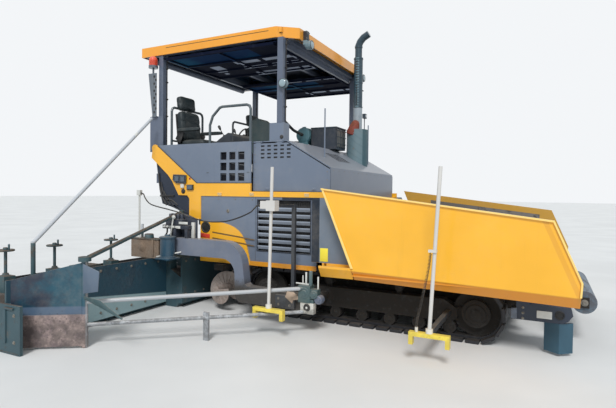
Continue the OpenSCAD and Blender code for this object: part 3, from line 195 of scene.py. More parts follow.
def plate(name, outline, lift, bevel=0.0, segments=2):
    """A flat outline pushed out along lift, with all its rims rounded."""
    start_clean()
    mesh = bpy.data.meshes.new(name)
    mesh.from_pydata([Vector(p) for p in outline], [], [range(len(outline))])
    piece = bpy.data.objects.new(name, mesh)
    bpy.context.scene.collection.objects.link(piece)
    edit(piece)
    bpy.ops.mesh.select_all(action="SELECT")
    bpy.ops.mesh.extrude_region_move(TRANSFORM_OT_translate={"value": lift})
    bpy.ops.mesh.select_all(action="SELECT")
    bpy.ops.mesh.normals_make_consistent(inside=False)
    if bevel:
        bpy.ops.mesh.bevel(offset=bevel, segments=segments, affect="EDGES")
    return done(piece)


def turned(name, profile, base, way, sides=28):
    """A round part: (radius, height) steps spun about the line from base along way."""
    start_clean()
    base, way = Vector(base), Vector(way).normalized()
    side = way.orthogonal().normalized()
    mesh = bpy.data.meshes.new(name)
    mesh.from_pydata([base + side * r + way * h for r, h in profile],
                     [(i, i + 1) for i in range(len(profile) - 1)], [])
    piece = bpy.data.objects.new(name, mesh)
    bpy.context.scene.collection.objects.link(piece)
    edit(piece)
    bpy.ops.mesh.select_all(action="SELECT")
    bpy.ops.mesh.spin(steps=sides, angle=2 * math.pi, center=base, axis=way)
    bpy.ops.mesh.select_all(action="SELECT")
    bpy.ops.mesh.remove_doubles(threshold=0.00001)
    bpy.ops.mesh.normals_make_consistent(inside=False)
    return done(piece)


def pipe(name, points, r, sides=12, bend=0.03):
    """A rigid tube through points, with round bends, as a mesh."""
    start_clean()
    points = [Vector(p) for p in points]
    line = [points[0]]
    for a, b, c in zip(points, points[1:], points[2:]):
        cut = min(bend, (b - a).length * 0.45, (c - b).length * 0.45)
        start, end = b + (a - b).normalized() * cut, b + (c - b).normalized() * cut
        line += [start.lerp(b, t).lerp(b.lerp(end, t), t) for t in (0, 0.25, 0.5, 0.75, 1)]
    line.append(points[-1])
    curve = bpy.data.curves.new(name, "CURVE")
    curve.dimensions = "3D"
    curve.bevel_depth = r
    curve.bevel_resolution = max(1, sides // 4 - 1)
    curve.use_fill_caps = True
    spline = curve.splines.new("POLY")
    spline.points.add(len(line) - 1)
    for point, co in zip(spline.points, line):
        point.co = (*co, 1)
    piece = bpy.data.objects.new(name, curve)
    bpy.context.scene.collection.objects.link(piece)
    only(piece)
    bpy.ops.object.convert(target="MESH")
    return bpy.context.object


def finish_piece(piece, material, body="tractor", smooth=35):
    """Paint, shading and the body that the piece rides on."""
    only(piece)
    bpy.ops.object.transform_apply(location=True, rotation=True, scale=True)
    piece.data.materials.clear()
    piece.data.materials.append(material)
    if smooth:
        bpy.ops.object.shade_smooth_by_angle(angle=math.radians(smooth))
    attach(piece, body)
    pieces.append(piece.name)
    return piece


def finish_pair(piece, material, body="tractor", smooth=35):
    """Finish a right-hand piece and its mirror image on the machine's left."""
    twin = copy_of(piece, mirror=True, name=piece.name.replace("right", "left"))
    finish_piece(piece, material, body, smooth)
    return finish_piece(twin, material, body.replace("right", "left"), smooth)


def bolts(name, places, way, size, sides=6):
    """Hexagon heads on washers, one at each place, as one mesh."""
    head = turned("head", [(0, size * 0.85), (size * 0.75, size * 0.85), (size * 0.95, size * 0.7), (size * 0.95, 0)],
                  places[0], way, sides)
    washer = turned("washer", [(size * 0.9, size * 0.25), (size * 1.35, size * 0.2), (size * 1.4, 0)], places[0], way, 16)
    first = join("bolt", [head, washer])
    rest = [copy_of(first, Vector(p) - Vector(places[0])) for p in places[1:]]
    return join(name, [first] + rest)


def row(start, stop, count):
    """Evenly spaced places from start to stop."""
    a, b = Vector(start), Vector(stop)
    return [a.lerp(b, i / (count - 1)) for i in range(count)]


# %% [markdown]
# ## The two cables
# The level sensor's cable sags from its clamp box to a box on the screed, and a curly cable
# hangs beside the front pole. Each is a curve through the same points as the frame's own
# solid, and each gets its thickness and has its length measured and printed, before anything else is made.

# %% Sensor cable and curly cable
cable_route = [(-0.109, -2.149, 1.462), (-0.150, -2.149, 1.462), (-0.200, -2.138, 1.430), (-0.260, -2.122, 1.380),
               (-0.440, -2.090, 1.310), (-0.620, -2.060, 1.262), (-0.780, -2.030, 1.242), (-0.970, -2.000, 1.238),
               (-1.120, -1.970, 1.250), (-1.310, -1.940, 1.285), (-1.500, -1.910, 1.330), (-1.730, -1.880, 1.368),
               (-1.940, -1.850, 1.398), (-2.080, -1.830, 1.430), (-2.180, -1.808, 1.495), (-2.240, -1.796, 1.575),
               (-2.275, -1.796, 1.575)]
curly_route = [(1.745, -2.165, 1.060), (1.745, -2.165, 1.030), (1.735, -2.165, 0.940), (1.715, -2.162, 0.820),
               (1.695, -2.160, 0.720), (1.675, -2.157, 0.620), (1.655, -2.153, 0.520), (1.635, -2.150, 0.440),
               (1.625, -2.149, 0.385), (1.625, -2.149, 0.345)]


def on_route(route, i, t):
    """A point on the smooth curve through the route, the part t past its point i."""
    a, b, c, d = (Vector(route[max(0, min(len(route) - 1, i + k))]) for k in (-1, 0, 1, 2))
    m0, m1 = (c - a) / 2, (d - b) / 2
    return b + t * m0 + t * t * (3 * (c - b) - 2 * m0 - m1) + t ** 3 * (2 * (b - c) + m0 + m1)


def evenly(route, count):
    """count + 1 points, evenly spaced along the smooth curve through the route."""
    fine = [on_route(route, i, k / 40) for i in range(len(route) - 1) for k in range(40)] + [Vector(route[-1])]
    far = [0.0]
    for a, b in zip(fine, fine[1:]):
        far.append(far[-1] + (b - a).length)
    places, k = [], 0
    for n in range(count + 1):
        want = far[-1] * n / count
        while k < len(far) - 2 and far[k + 1] < want:
            k += 1
        places.append(fine[k].lerp(fine[k + 1], min(1, (want - far[k]) / max(1e-9, far[k + 1] - far[k]))))
    return places


def cable(name, points, r):
    """A round cable as a curve of one open spline, and its length.

    The radius sits on the points, because the curve's bounding box reads it there.
    """
    curve = bpy.data.curves.new(name, "CURVE")
    curve.dimensions = "3D"
    curve.bevel_depth = 1.0
    curve.bevel_resolution = 3
    curve.use_fill_caps = True
    spline = curve.splines.new("POLY")
    spline.points.add(len(points) - 1)
    for point, co in zip(spline.points, points):
        point.co, point.radius = (*co, 1), r
    piece = bpy.data.objects.new(name, curve)
    bpy.context.scene.collection.objects.link(piece)
    return piece, sum((b - a).length for a, b in zip(points, points[1:]))


sensor_cable, sensor_length = cable("sensor_cable_black", evenly(cable_route, 39), 0.008)
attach(sensor_cable, "screed")
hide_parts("sensor_cable")

turns, turn_points, coil_r, wire_r = 56, 14, 0.0105, 0.0025
middle = evenly(curly_route, turns * turn_points)
helix = []
for k, at in enumerate(middle):
    along = (middle[min(k + 1, len(middle) - 1)] - middle[max(k - 1, 0)]).normalized()
    aside = Vector((0, 1, 0)).cross(along).normalized()
    angle = 2 * math.pi * k / turn_points
    spread = coil_r * min(1, k / turn_points, (len(middle) - 1 - k) / turn_points)
    helix.append(at + spread * (math.cos(angle) * aside + math.sin(angle) * along.cross(aside)))
curly_cable, curly_length = cable("curly_cable_black", helix, wire_r)
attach(curly_cable, "tractor")
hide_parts("curly_cable_front")
print("cables:", round(sensor_length, 3), "m and", round(curly_length, 3), "m")

# %% [markdown]
# ## Shader maths as plain expressions
# A finish is a small calculation: noise times a mask, plus a little more where the metal is
# low. Written with Python's own operators it reads like that sentence. The class below wraps
# one socket of a material; adding or multiplying two of them adds the Math node.

# %% A socket that can be added and multiplied


class Signal:
    def __init__(self, finish, socket):
        self.finish, self.socket = finish, socket

    def _with(self, operation, a, b):
        return self.finish.add("ShaderNodeMath", {"operation": operation}, {0: a, 1: b})

    def __add__(self, other):
        return self._with("ADD", self, other)

    def __sub__(self, other):
        return self._with("SUBTRACT", self, other)

    def __rsub__(self, other):
        return self._with("SUBTRACT", other, self)

    def __mul__(self, other):
        return self._with("MULTIPLY", self, other)

    def __truediv__(self, other):
        return self._with("DIVIDE", self, other)

    def __gt__(self, other):
        return self._with("GREATER_THAN", self, other)

    def __pow__(self, other):
        return self._with("POWER", self, other)

    __radd__ = __add__
    __rmul__ = __mul__

    def add_size(self):
        """The value without its sign, for parts that are alike on both sides."""
        return self._with("ABSOLUTE", self, 0)

    def saw(self):
        """A triangle wave from 0 up to 0.5 and back over every whole step."""
        return self._with("PINGPONG", self, 0.5)

    def within(self, low, high, soft=0.003):
        """1 between low and high, 0 outside, with a narrow edge."""
        return self.step(low - soft, low) * (1 - self.step(high, high + soft))

    def clamp(self):
        return self.finish.add("ShaderNodeClamp", {}, {0: self})

    def step(self, low, high):
        """0 below low, 1 above high, smooth between."""
        return self.finish.add("ShaderNodeMapRange", {"interpolation_type": "SMOOTHSTEP"},
                               {"Value": self, "From Min": low, "From Max": high})


class Finish:
    """A material under construction, with one method that adds any node."""

    def __init__(self, name, roughness=0.5, metallic=0.0, **plain):
        self.material = bpy.data.materials.new(name)
        self.material.use_nodes = True
        self.tree = self.material.node_tree
        self.shader = self.tree.nodes["Principled BSDF"]
        self.shader.inputs["Roughness"].default_value = roughness
        self.shader.inputs["Metallic"].default_value = metallic
        for key, value in plain.items():
            self.shader.inputs[key.replace("_", " ")].default_value = value
        self.place = self.add("ShaderNodeTexCoord", {}, {}, "Object")

    def add(self, kind, settings, inputs, out=0):
        node = self.tree.nodes.new(kind)
        for key, value in settings.items():
            if key == "stops":
                while len(node.color_ramp.elements) > len(value):
                    node.color_ramp.elements.remove(node.color_ramp.elements[-1])
                for i, (at, colour) in enumerate(value):
                    e = node.color_ramp.elements[i] if i < len(node.color_ramp.elements) else node.color_ramp.elements.new(at)
                    e.position, e.color = at, (*colour, 1)
            else:
                setattr(node, key, value)
        for key, value in inputs.items():
            if isinstance(value, Signal):
                self.tree.links.new(value.socket, node.inputs[key])
            elif value is not None:
                if hasattr(value, "__len__") and len(value) == 3 and node.inputs[key].type == "RGBA":
                    value = (*value, 1)
                node.inputs[key].default_value = value
        return Signal(self, node.outputs[out])

    def noise(self, scale, detail=4, roughness=0.55, stretch=None):
        where = self.place
        if stretch:
            where = self.add("ShaderNodeMapping", {}, {"Vector": where, "Scale": stretch})
        return self.add("ShaderNodeTexNoise", {}, {"Vector": where, "Scale": scale, "Detail": detail, "Roughness": roughness})

    def cells(self, scale, feature="F1", out="Distance"):
        return self.add("ShaderNodeTexVoronoi", {"feature": feature}, {"Vector": self.place, "Scale": scale}, out)

    def mix(self, mask, a, b):
        """Colour a where the mask is 0, b where it is 1."""
        return self.add("ShaderNodeMix", {"data_type": "RGBA"}, {0: mask, 6: a, 7: b}, 2)

    def axis(self, name):
        return self.add("ShaderNodeSeparateXYZ", {}, {0: self.place}, name)

    def facing(self, name="Z"):
        """How far the surface looks along an axis, from -1 to 1."""
        normal = self.add("ShaderNodeNewGeometry", {}, {}, "True Normal")
        return self.add("ShaderNodeSeparateXYZ", {}, {0: normal}, name)

    def put(self, **sockets):
        for key, value in sockets.items():
            self.tree.links.new(value.socket, self.shader.inputs[key.replace("_", " ")])
        return self

    def bump(self, height, distance=0.002, strength=0.5):
        normal = self.add("ShaderNodeBump", {}, {"Height": height, "Distance": distance, "Strength": strength}, "Normal")
        return self.put(Normal=normal)


def colour(r, g, b):
    """A colour read off a screen, 0 to 255, as the light values that shaders use."""
    return tuple(v / 12.92 if v < 0.04045 else ((v + 0.055) / 1.055) ** 2.4 for v in (r / 255, g / 255, b / 255))


# %% [markdown]
# ## Paint, and how a paver gets dirty
# The panels are gloss paint with a faint orange peel. Dust lies on what faces up and dulls
# the lower panels, and black bitumen spatter thickens towards the tracks and the screed.
# One recipe takes the paint's colour and the amounts of dust and tar, and the height above
# the ground decides where they show.

# %% Recipe for painted steel


def painted(name, base, roughness=0.38, dust=0.35, tar=0.3, tar_top=0.9, chips=0.5, coat=0.3, areas=None, **plain):
    """areas(finish) gives masks and colours of what is painted otherwise on the same part."""
    f = Finish(name, roughness, Coat_Weight=coat, Coat_Roughness=0.12, **plain)
    height = f.axis("Z")
    broad = f.noise(1.3, 3)
    fine = f.noise(14, 6, 0.65)
    grit = f.noise(120, 2)
    faded = f.mix(broad.step(0.3, 0.75), [c * 0.93 for c in base], [min(1, c * 1.05 + 0.004) for c in base])
    for mask, other in areas(f) if areas else ():
        faded = f.mix(mask, faded, other)
    # Dust on what looks up, and in broad clouds elsewhere
    up = f.facing().step(0.15, 0.9)
    cloud = (broad * 0.6 + fine * 0.4).step(0.42, 0.72)
    dusty = ((up * 0.85 + cloud * 0.45) * (dust * (0.6 + fine))).clamp()
    shade = f.mix(dusty, faded, colour(168, 158, 142))
    # Rain streaks run down the sides
    streak = f.noise(3.2, 4, 0.6, stretch=(4, 4, 0.22)).step(0.56, 0.78) * (1 - up)
    shade = f.mix(streak * (0.28 * dust + 0.05), shade, [c * 0.45 for c in base])
    # Bitumen: solid near the ground, spots higher up
    low = 1 - height.step(tar_top * 0.35, tar_top)
    spots = f.cells(26).step(0.10, 0.34)
    splash = ((fine * 0.9 + low * 0.75 - spots * 0.25).step(0.72, 1.02) * low * tar * 1.6).clamp()
    shade = f.mix(splash, shade, colour(46, 43, 40))
    # Chips down to the primer, few and small
    worn = (f.cells(38) * 1.0 + fine * 0.5).step(0.16, 0.20)
    chip = (1 - worn) * (chips * 0.8)
    shade = f.mix(chip, shade, colour(84, 72, 62))
    f.put(Base_Color=shade, Roughness=(roughness + dusty * 0.45 + splash * 0.4 + grit * 0.05).clamp())
    f.bump(grit * 0.15 + splash * 0.9 + chip * -0.4, 0.0022, 0.45)
    return f.material


def inside_roof(f):
    """The blue lining, on inner faces and all that looks down, and the fascia's groove painted dark brown as shade."""
    out_x = f.facing("X") * (f.axis("X") + 1.487)
    out_y = f.facing("Y") * f.axis("Y")
    inward = 1 - (out_x + out_y).step(-0.3, -0.1)
    below = (0 - f.facing()).step(0.3, 0.6) * f.axis("Z").step(3.60, 3.61)
    ribs = (1 - f.axis("Y").add_size().step(1.290, 1.2915)) * (1 - f.axis("Z").step(3.7155, 3.7165)) * f.axis("X").within(-2.757, -0.462)
    lining = f.mix(f.noise(1.1, 3).step(0.35, 0.65), colour(20, 34, 56), colour(20, 62, 92))
    # painted shade: the groove in the fascia is coloured dark brown where shade falls in it
    groove = f.axis("Z").within(3.684, 3.692, 0.001) * f.axis("X").within(-2.30, -0.56)
    return [((inward + below + ribs).clamp(), lining), (groove * (1 - inward), colour(96, 70, 40))]


def rear_wall_yellow(f):
    """Behind the wings only the outer side plate is grey, and its rear strip is dark teal."""
    strip = f.axis("Y").add_size().step(1.500, 1.507) * (1 - f.axis("X").step(0.300, 0.306)) * f.axis("Z").step(0.774, 0.777)
    return [(strip, colour(2, 22, 40)), (1 - f.axis("Y").add_size().step(1.500, 1.507) * f.axis("Z").step(0.774, 0.777), colour(246, 178, 40))]


def arm_dirt(f):
    return [(1 - (f.axis("Z") + f.noise(6, 3) * 0.1).step(0.44, 0.60), colour(66, 62, 58))]


def wing_tones_and_painted_light(f):
    """The inclined lower band is painted a deeper orange than the wall as shade, the folded rim paler as a painted
    highlight, the crease darker as painted shade, and the faces turned inward are a duller, darker yellow.
    """
    z, y, x = f.axis("Z"), f.axis("Y").add_size(), f.axis("X")
    fall = x * 0.0297
    # painted shade: the lower band leans down, away from the light, so it is painted a deeper orange
    band = (1 - (z + fall).step(0.762, 0.768)) * y.step(1.640, 1.650)
    # painted highlight: the thin folded rim is painted paler where it catches the light
    rim = y.step(1.7425, 1.7440)
    # painted shade: the crease is painted half a step darker
    crease_shade = (x + z * 0.432).within(3.262, 3.298, 0.012) * (1 - rim)
    inner = (f.facing("Y") * f.axis("Y")).step(-0.6, -0.3)
    return [(band, colour(222, 142, 22)), (rim, colour(252, 214, 120)), (crease_shade * 0.5, colour(214, 150, 40)),
            (1 - inner, colour(196, 150, 60))]


def fender_tones_and_groove_shade(f):
    """The two grooves of the accent cover are painted dark as shade, and the skirt below 0.70 m is a deeper orange."""
    y = f.axis("Y").add_size()
    skirt = (1 - f.axis("Z").step(0.698, 0.702)) * f.axis("X").step(-0.776, -0.772) * y.step(1.356, 1.357)
    # painted shade: the floor of each groove is coloured dark brown
    return [(y.within(1.3602, 1.3622, 0.0004) * f.axis("X").within(-1.392, -0.70), colour(120, 78, 26)), (skirt, colour(226, 150, 34))]


def louvre_painted_highlight(f):
    """The slats get a painted highlight: a paler grey where they catch the light."""
    # painted highlight on the slats
    slats = f.axis("X").within(-0.666, 0.105) * f.axis("Z").within(0.842, 1.50)
    return [(slats, colour(146, 156, 170))]


def mast_rings(f):
    """The pipe is pale grey below the dark sleeve, and the tip has a pale rim."""
    z = f.axis("Z")
    pale = z.within(2.60, 2.955)
    bands = ((z - 2.955) * 12.5).saw().step(0.44, 0.47) * z.within(2.955, 3.74)
    seam = f.axis("X").within(-0.040, 0.010, 0.006) * ((z - 2.955) * 25).saw().step(0.22, 0.30) * z.within(2.96, 3.74)
    return [(pale, colour(146, 158, 166)), (bands, colour(46, 74, 86)), (seam * (1 - f.facing("Y").step(-0.5, 0)), colour(88, 116, 126)),
            (f.facing("X").step(0.7, 0.8) * z.step(4.0, 4.02), colour(140, 146, 150))]


def shield_painted_shade(f):
    """Ripple dents are painted as darker waves of shade, the front edge gets a painted shadow, the lamp is dark."""
    # painted shade: darker waves stand for the shading of the dents
    wave = (f.axis("Z") * 9 + f.axis("X") * 7 + f.noise(3, 3) * 1.6).saw().step(0.30, 0.48)
    # painted shadow along the front edge; the lamp's own dark colour above
    return [(wave * 0.35, colour(74, 100, 110)), (f.axis("X").step(0.100, 0.112), colour(48, 82, 92)), (f.axis("Z").step(2.605, 2.612), colour(30, 48, 62))]


def hood_slot_painted_shade(f):
    """The walls of the air slots are painted black as shade."""
    # painted shade inside the air slots
    slot = f.axis("X").within(-0.112, 0.122) * f.axis("Y").within(-0.525, -0.06) * f.axis("Z").step(1.95, 1.96)
    return [(slot * f.facing("Y").add_size().step(0.8, 0.9), colour(14, 16, 22))]


def lamp_parts(f):
    """Grey-teal housings in front, black ones at the rear."""
    front = f.axis("X").step(-0.60, -0.55)
    bracket = f.axis("Z").step(3.597, 3.599)
    return [(front, colour(112, 134, 142)), (bracket, colour(28, 34, 44))]


def housing_parts(f):
    """The drive's housing in front is dark navy, the plough under it blue-teal."""
    return [(f.axis("Z").step(0.329, 0.331), colour(44, 48, 62), 0.9)]


def lens_on_top(f):
    return [(f.axis("Z").step(3.437, 3.439), colour(222, 72, 40))]


def sensor_parts(f):
    """Yellow bar and feet, white collar, black bracket towards the machine. The front bar hangs lower."""
    level = f.axis("Z") + f.axis("X").step(0.8, 0.81) * 0.030
    bar = 1 - level.step(0.330, 0.332)
    near = 1 - f.axis("Y").add_size().step(2.095, 2.10)
    return [(bar, colour(240, 214, 78)), (level.within(0.332, 0.372, 0.001), colour(222, 218, 206)),
            (near, colour(48, 52, 58))]


def brace_parts(f):
    """Guide plates teal above and brown below, post dark, gear boxes green, one bracket white."""
    z, x, y = f.axis("Z"), f.axis("X"), f.axis("Y").add_size()
    plate = 1 - x.step(-1.452, -1.440)
    teal = z.step(0.342, 0.348)
    mottled = f.mix((f.noise(4, 5, 0.65) + x * 0.5 + 0.92).step(0.40, 0.75), colour(30, 40, 58), colour(20, 76, 94))
    mottled = f.mix(z.within(0.345, 0.415, 0.02), mottled, colour(76, 96, 118))
    tow = (1 - y.step(1.87, 1.88)) * x.step(-0.14, -0.13)
    white = x.step(0.195, 0.20) * (1 - z.step(0.360, 0.363))
    return [(plate, f.mix(f.noise(9, 5, 0.7).step(0.38, 0.62), colour(120, 104, 104), colour(166, 146, 140))), (plate * teal, mottled), (tow, colour(58, 62, 68)),
            (tow * x.step(0.195, 0.20), colour(58, 84, 88)), (tow * white, colour(206, 204, 196))]


def console_parts(f):
    cover = (1 - (f.axis("Y") + 0.2).add_size().step(0.139, 0.142)) * f.axis("Z").step(2.18, 2.19)
    return [(cover, colour(72, 96, 98))]


def awning_lining(f):
    """Frame, ribs and lining are navy. One pane and a few long strips between the ribs are pale."""
    x, y = f.axis("X"), f.axis("Y").add_size()
    outer = 1 - f.facing().step(0.3, 0.6)
    cloud = f.mix(f.noise(1.3, 4).step(0.35, 0.65), colour(4, 44, 84), colour(12, 76, 108))
    sheet = y.within(0.84, 1.26) * x.within(-2.30, -0.95)
    pane = x.within(-2.03, -1.85) * y.within(0.36, 0.64) + x.within(-2.05, -1.98) * y.within(0.17, 0.24)
    strips = x.within(-1.52, -0.50) * (y.within(0.01, 0.125) + y.within(0.42, 0.46) + y.within(0.62, 0.74) + y.within(1.62, 1.72))
    strips = strips * (1 - x.within(-1.10, -1.02)) * (1 - x.within(-0.74, -0.69))
    lit = (pane + strips).clamp() * (0 - f.facing()).step(0.3, 0.6)
    below = (0 - f.facing()).step(0.3, 0.6)
    return [((outer + below).clamp(), colour(10, 18, 38)), (sheet * below, cloud), (lit, colour(168, 178, 196))]


def drum_teal(f):
    """The round filter is teal, the box beside it navy with teal ribs."""
    x, y = f.axis("X"), f.axis("Y")
    ribs = ((y - 0.034) / 0.064).saw().step(0.2, 0.3) * x.step(-0.56, -0.55)
    return [(ribs * 0.5, colour(52, 78, 92)), (1 - x.step(-0.597, -0.590), colour(84, 132, 142))]


yellow = painted("golden_yellow_paint", colour(248, 180, 36), 0.30, dust=0.14, tar=0.28, tar_top=1.0, chips=0.12, coat=0.5, areas=fender_tones_and_groove_shade)
wing_yellow = painted("wing_yellow_paint", colour(248, 182, 38), 0.30, dust=0.14, tar=0.2, tar_top=0.9, chips=0.12, coat=0.5, areas=wing_tones_and_painted_light)
roof_orange = painted("canopy_orange_paint", colour(240, 160, 40), 0.34, dust=0.2, tar=0.0, chips=0.1, coat=0.4, areas=inside_roof)
blue_grey = painted("blue_grey_paint", colour(106, 118, 136), 0.40, dust=0.26, tar=0.25, tar_top=1.1, chips=0.12)
cover_grey = painted("side_cover_paint", colour(106, 118, 136), 0.40, dust=0.22, tar=0.25, tar_top=1.1, chips=0.12, areas=louvre_painted_highlight)
hood_grey = painted("hood_paint", colour(106, 118, 136), 0.40, dust=0.26, tar=0.0, chips=0.12, areas=hood_slot_painted_shade)
arm_grey = painted("tow_arm_paint", colour(112, 120, 136), 0.42, dust=0.3, tar=0.35, tar_top=0.9, chips=0.15, areas=arm_dirt)
hopper_grey = painted("hopper_side_paint", colour(106, 118, 132), 0.40, dust=0.3, tar=0.3, tar_top=1.0, chips=0.2, areas=rear_wall_yellow)
dark_grey = painted("dark_frame_paint", colour(52, 58, 68), 0.48, dust=0.3, tar=0.55, tar_top=1.2, chips=0.25, coat=0.15)
console_grey = painted("console_paint", colour(44, 50, 58), 0.5, dust=0.3, tar=0.0, chips=0.15, coat=0.1, areas=console_parts)
filter_navy = painted("air_filter_paint", colour(38, 46, 58), 0.5, dust=0.3, tar=0.0, chips=0.15, coat=0.1, areas=drum_teal)
post_grey = painted("post_navy_paint", colour(88, 98, 116), 0.42, dust=0.2, tar=0.0, chips=0.15, coat=0.2)
rail_grey = painted("handrail_paint", colour(70, 82, 88), 0.42, dust=0.15, tar=0.0, chips=0.15, coat=0.2)
beacon_paint = painted("beacon_and_bracket", colour(84, 94, 104), 0.35, dust=0.2, tar=0.0, chips=0.15, coat=0.6, areas=lens_on_top)
chassis_black = painted("chassis_black_paint", colour(38, 39, 42), 0.6, dust=0.35, tar=0.9, tar_top=1.6, chips=0.3, coat=0.0)
brace_paint = painted("brace_tubes", colour(178, 182, 186), 0.36, dust=0.3, tar=0.35, tar_top=0.6, chips=0.2, coat=0.2, areas=brace_parts)
sensor_paint = painted("sensor_poles", colour(206, 204, 200), 0.36, dust=0.2, tar=0.15, tar_top=0.6, chips=0.15, coat=0.3, areas=sensor_parts)
print("paints:", sum(m.name.find("paint") >= 0 for m in bpy.data.materials))

# %% [markdown]
# ## Bare and dirty metal
# Track shoes, conveyor slats and auger flights are scoured bright where the mix slides over
# them and brown-black everywhere else. The screed keeps its teal paint only in patches under
# dried asphalt. Tubes are dull galvanised steel with a brush grain along their length.

# %% Recipe for bare steel


def bare_steel(name, base, roughness=0.42, rust=0.3, soot=0.4, stretch=None, shine=0.9, areas=None):
    f = Finish(name, roughness, shine)
    broad = f.noise(2.1, 4)
    fine = f.noise(22, 6, 0.7, stretch=stretch)
    grit = f.noise(160, 2)
    shade = f.mix(broad.step(0.35, 0.7), [c * 0.8 for c in base], base)
    bright = 1.0
    for mask, other in areas(f) if areas else ():
        shade = f.mix(mask, shade, other)
        bright = bright - mask
    rusty = ((broad * 0.5 + fine * 0.6).step(0.48, 0.68) * rust).clamp()
    shade = f.mix(rusty, shade, colour(112, 74, 48))
    sooty = ((fine * 0.8 + broad * 0.3).step(0.5, 0.72) * soot).clamp()
    shade = f.mix(sooty, shade, colour(38, 36, 34))
    f.put(Base_Color=shade, Metallic=((shine - (rusty + sooty) * 0.8) * bright).clamp(),
          Roughness=(roughness + rusty * 0.4 + sooty * 0.35 + fine * 0.08).clamp())
    f.bump(fine * 0.5 + grit * 0.25 + sooty * 0.5, 0.002, 0.5)
    return f.material


scoured = bare_steel("scoured_steel", colour(176, 164, 156), 0.5, rust=0.3, soot=0.3, shine=0.45)
roller_steel = bare_steel("roller_steel", colour(104, 122, 136), 0.45, rust=0.3, soot=0.4, stretch=(1, 0.15, 1), shine=0.6)
tube_steel = bare_steel("galvanised_tube", colour(190, 192, 192), 0.4, rust=0.12, soot=0.25, stretch=(0.3, 0.3, 0.3), shine=0.55)
chrome = bare_steel("chromed_rod", colour(225, 226, 228), 0.14, rust=0.0, soot=0.08, shine=1.0)
stack_steel = painted("stack_teal_paint", colour(28, 56, 70), 0.42, dust=0.25, tar=0.0, chips=0.2, coat=0.2, areas=mast_rings)
shield_steel = painted("heat_shield_paint", colour(98, 122, 130), 0.46, dust=0.3, tar=0.0, chips=0.3, coat=0.1, areas=shield_painted_shade)
rusty_iron = bare_steel("rusty_iron", colour(140, 66, 56), 0.7, rust=0.6, soot=0.15, shine=0.1)
engine_iron = bare_steel("engine_iron", colour(70, 72, 74), 0.6, rust=0.3, soot=0.7, shine=0.4)

# %% [markdown]
# ## Asphalt crust
# Loose mix and dust bake on to the screed, the hopper's inside and the tracks. It is a
# coarse, matt crust in browns and greys, thick enough to cast its own small shadows, so
# most of it is bump: stones from cell noise under finer grit.

# %% Recipe for caked surfaces


def caked(name, under, crust, cover=0.6, stones=90, roughness=0.85, light=None, areas=None):
    f = Finish(name, roughness)
    broad = f.noise(1.7, 5, 0.6)
    fine = f.noise(11, 6, 0.7)
    pebbles = f.cells(stones)
    up = f.facing().step(0.0, 0.8)
    mask = ((broad * 0.65 + fine * 0.5 + up * 0.22) - (0.86 - cover * 0.55)).step(0.0, 0.14)
    dust = f.noise(5, 5, 0.65).step(0.45, 0.7)
    cover_shade = f.mix(dust, crust, light or [min(1, c * 1.9 + 0.02) for c in crust])
    cover_shade = f.mix((pebbles.step(0.1, 0.5) * 0.35), cover_shade, [c * 0.5 for c in crust])
    shade = f.mix(mask, f.mix(broad.step(0.3, 0.7), [c * 0.75 for c in under], under), cover_shade)
    for part, other, amount in areas(f) if areas else ():
        shade = f.mix(part * amount, shade, other)
    f.put(Base_Color=shade, Roughness=(0.5 + mask * 0.42).clamp())
    f.bump(mask * (fine * 0.9 + (1 - pebbles) * 0.6) + fine * 0.2, 0.006, 0.7)
    return f.material


def screed_parts(f):
    """The extension's front plate is dark teal above a paler strip that rises outwards."""
    y, z = f.axis("Y").add_size(), f.axis("Z")
    front = f.axis("X").within(-2.034, -2.026) * f.facing("X").step(0.7, 0.8) * y.step(1.565, 1.57)
    upper = (z - y * 0.124).step(-0.001, 0.011)
    return [(front * upper, colour(18, 60, 78), 0.8), (front * (1 - upper), colour(150, 176, 180), 0.85)]


screed_teal = caked("teal_under_asphalt", colour(58, 84, 92), colour(84, 76, 70), 0.5, light=colour(134, 126, 116), areas=screed_parts)


def fittings_parts(f):
    """Depth screw housings caked brown, the levelling pole bright, the sensor's box and stand pale."""
    y, z = f.axis("Y"), f.axis("Z")
    housing = y.add_size().step(1.742, 1.746) * (1 - y.add_size().step(1.87, 1.88)) * (1 - z.step(0.951, 0.953))
    stand = y.within(-1.82, -1.77) * z.step(0.955, 0.960) * (1 - f.axis("X").step(-2.26, -2.25))
    pole = (1 - y.step(-1.474, -1.47)) * z.step(1.02, 1.03) * (1 - f.axis("X").step(-2.2, -2.19))
    return [(housing, colour(134, 114, 96), 0.8), (pole, colour(190, 194, 198), 0.95), (stand, colour(204, 204, 198), 0.95)]


screed_fittings_teal = caked("fittings_teal", colour(62, 88, 94), colour(92, 82, 72), 0.5, light=colour(138, 126, 112), areas=fittings_parts)
scraper_navy = caked("scraper_blue_paint", colour(52, 88, 106), colour(70, 66, 62), 0.3, light=colour(110, 112, 110), areas=housing_parts)
track_dirt = caked("track_rubber_dirt", colour(34, 35, 40), colour(52, 49, 47), 0.5, light=colour(94, 89, 84))
hopper_floor = caked("hopper_floor_steel", colour(104, 100, 96), colour(48, 46, 44), 0.55, light=colour(96, 90, 84))

# %% [markdown]
# ## Small finishes
# Vinyl seats, black plastic grips, lamp glass, the beacon's lens and rubber hose each need
# only a few nodes, but none is left as one flat colour: every one gets a grain, some dust
# and a roughness that changes over the surface.

# %% Vinyl, plastic, glass and rubber


def soft_skin(name, base, grain=260, roughness=0.5, dust=0.25, depth=0.0008, **plain):
    f = Finish(name, roughness, **plain)
    pebble = f.cells(grain)
    cloud = f.noise(6, 5, 0.6)
    up = f.facing().step(0.2, 0.95)
    dusty = ((up * 0.6 + cloud.step(0.45, 0.75) * 0.6) * dust).clamp()
    shade = f.mix(dusty, f.mix(cloud.step(0.3, 0.7), [c * 0.85 for c in base], base), colour(150, 142, 130))
    f.put(Base_Color=shade, Roughness=(roughness + dusty * 0.4 + pebble * 0.12).clamp())
    f.bump(pebble, depth, 0.4)
    return f.material


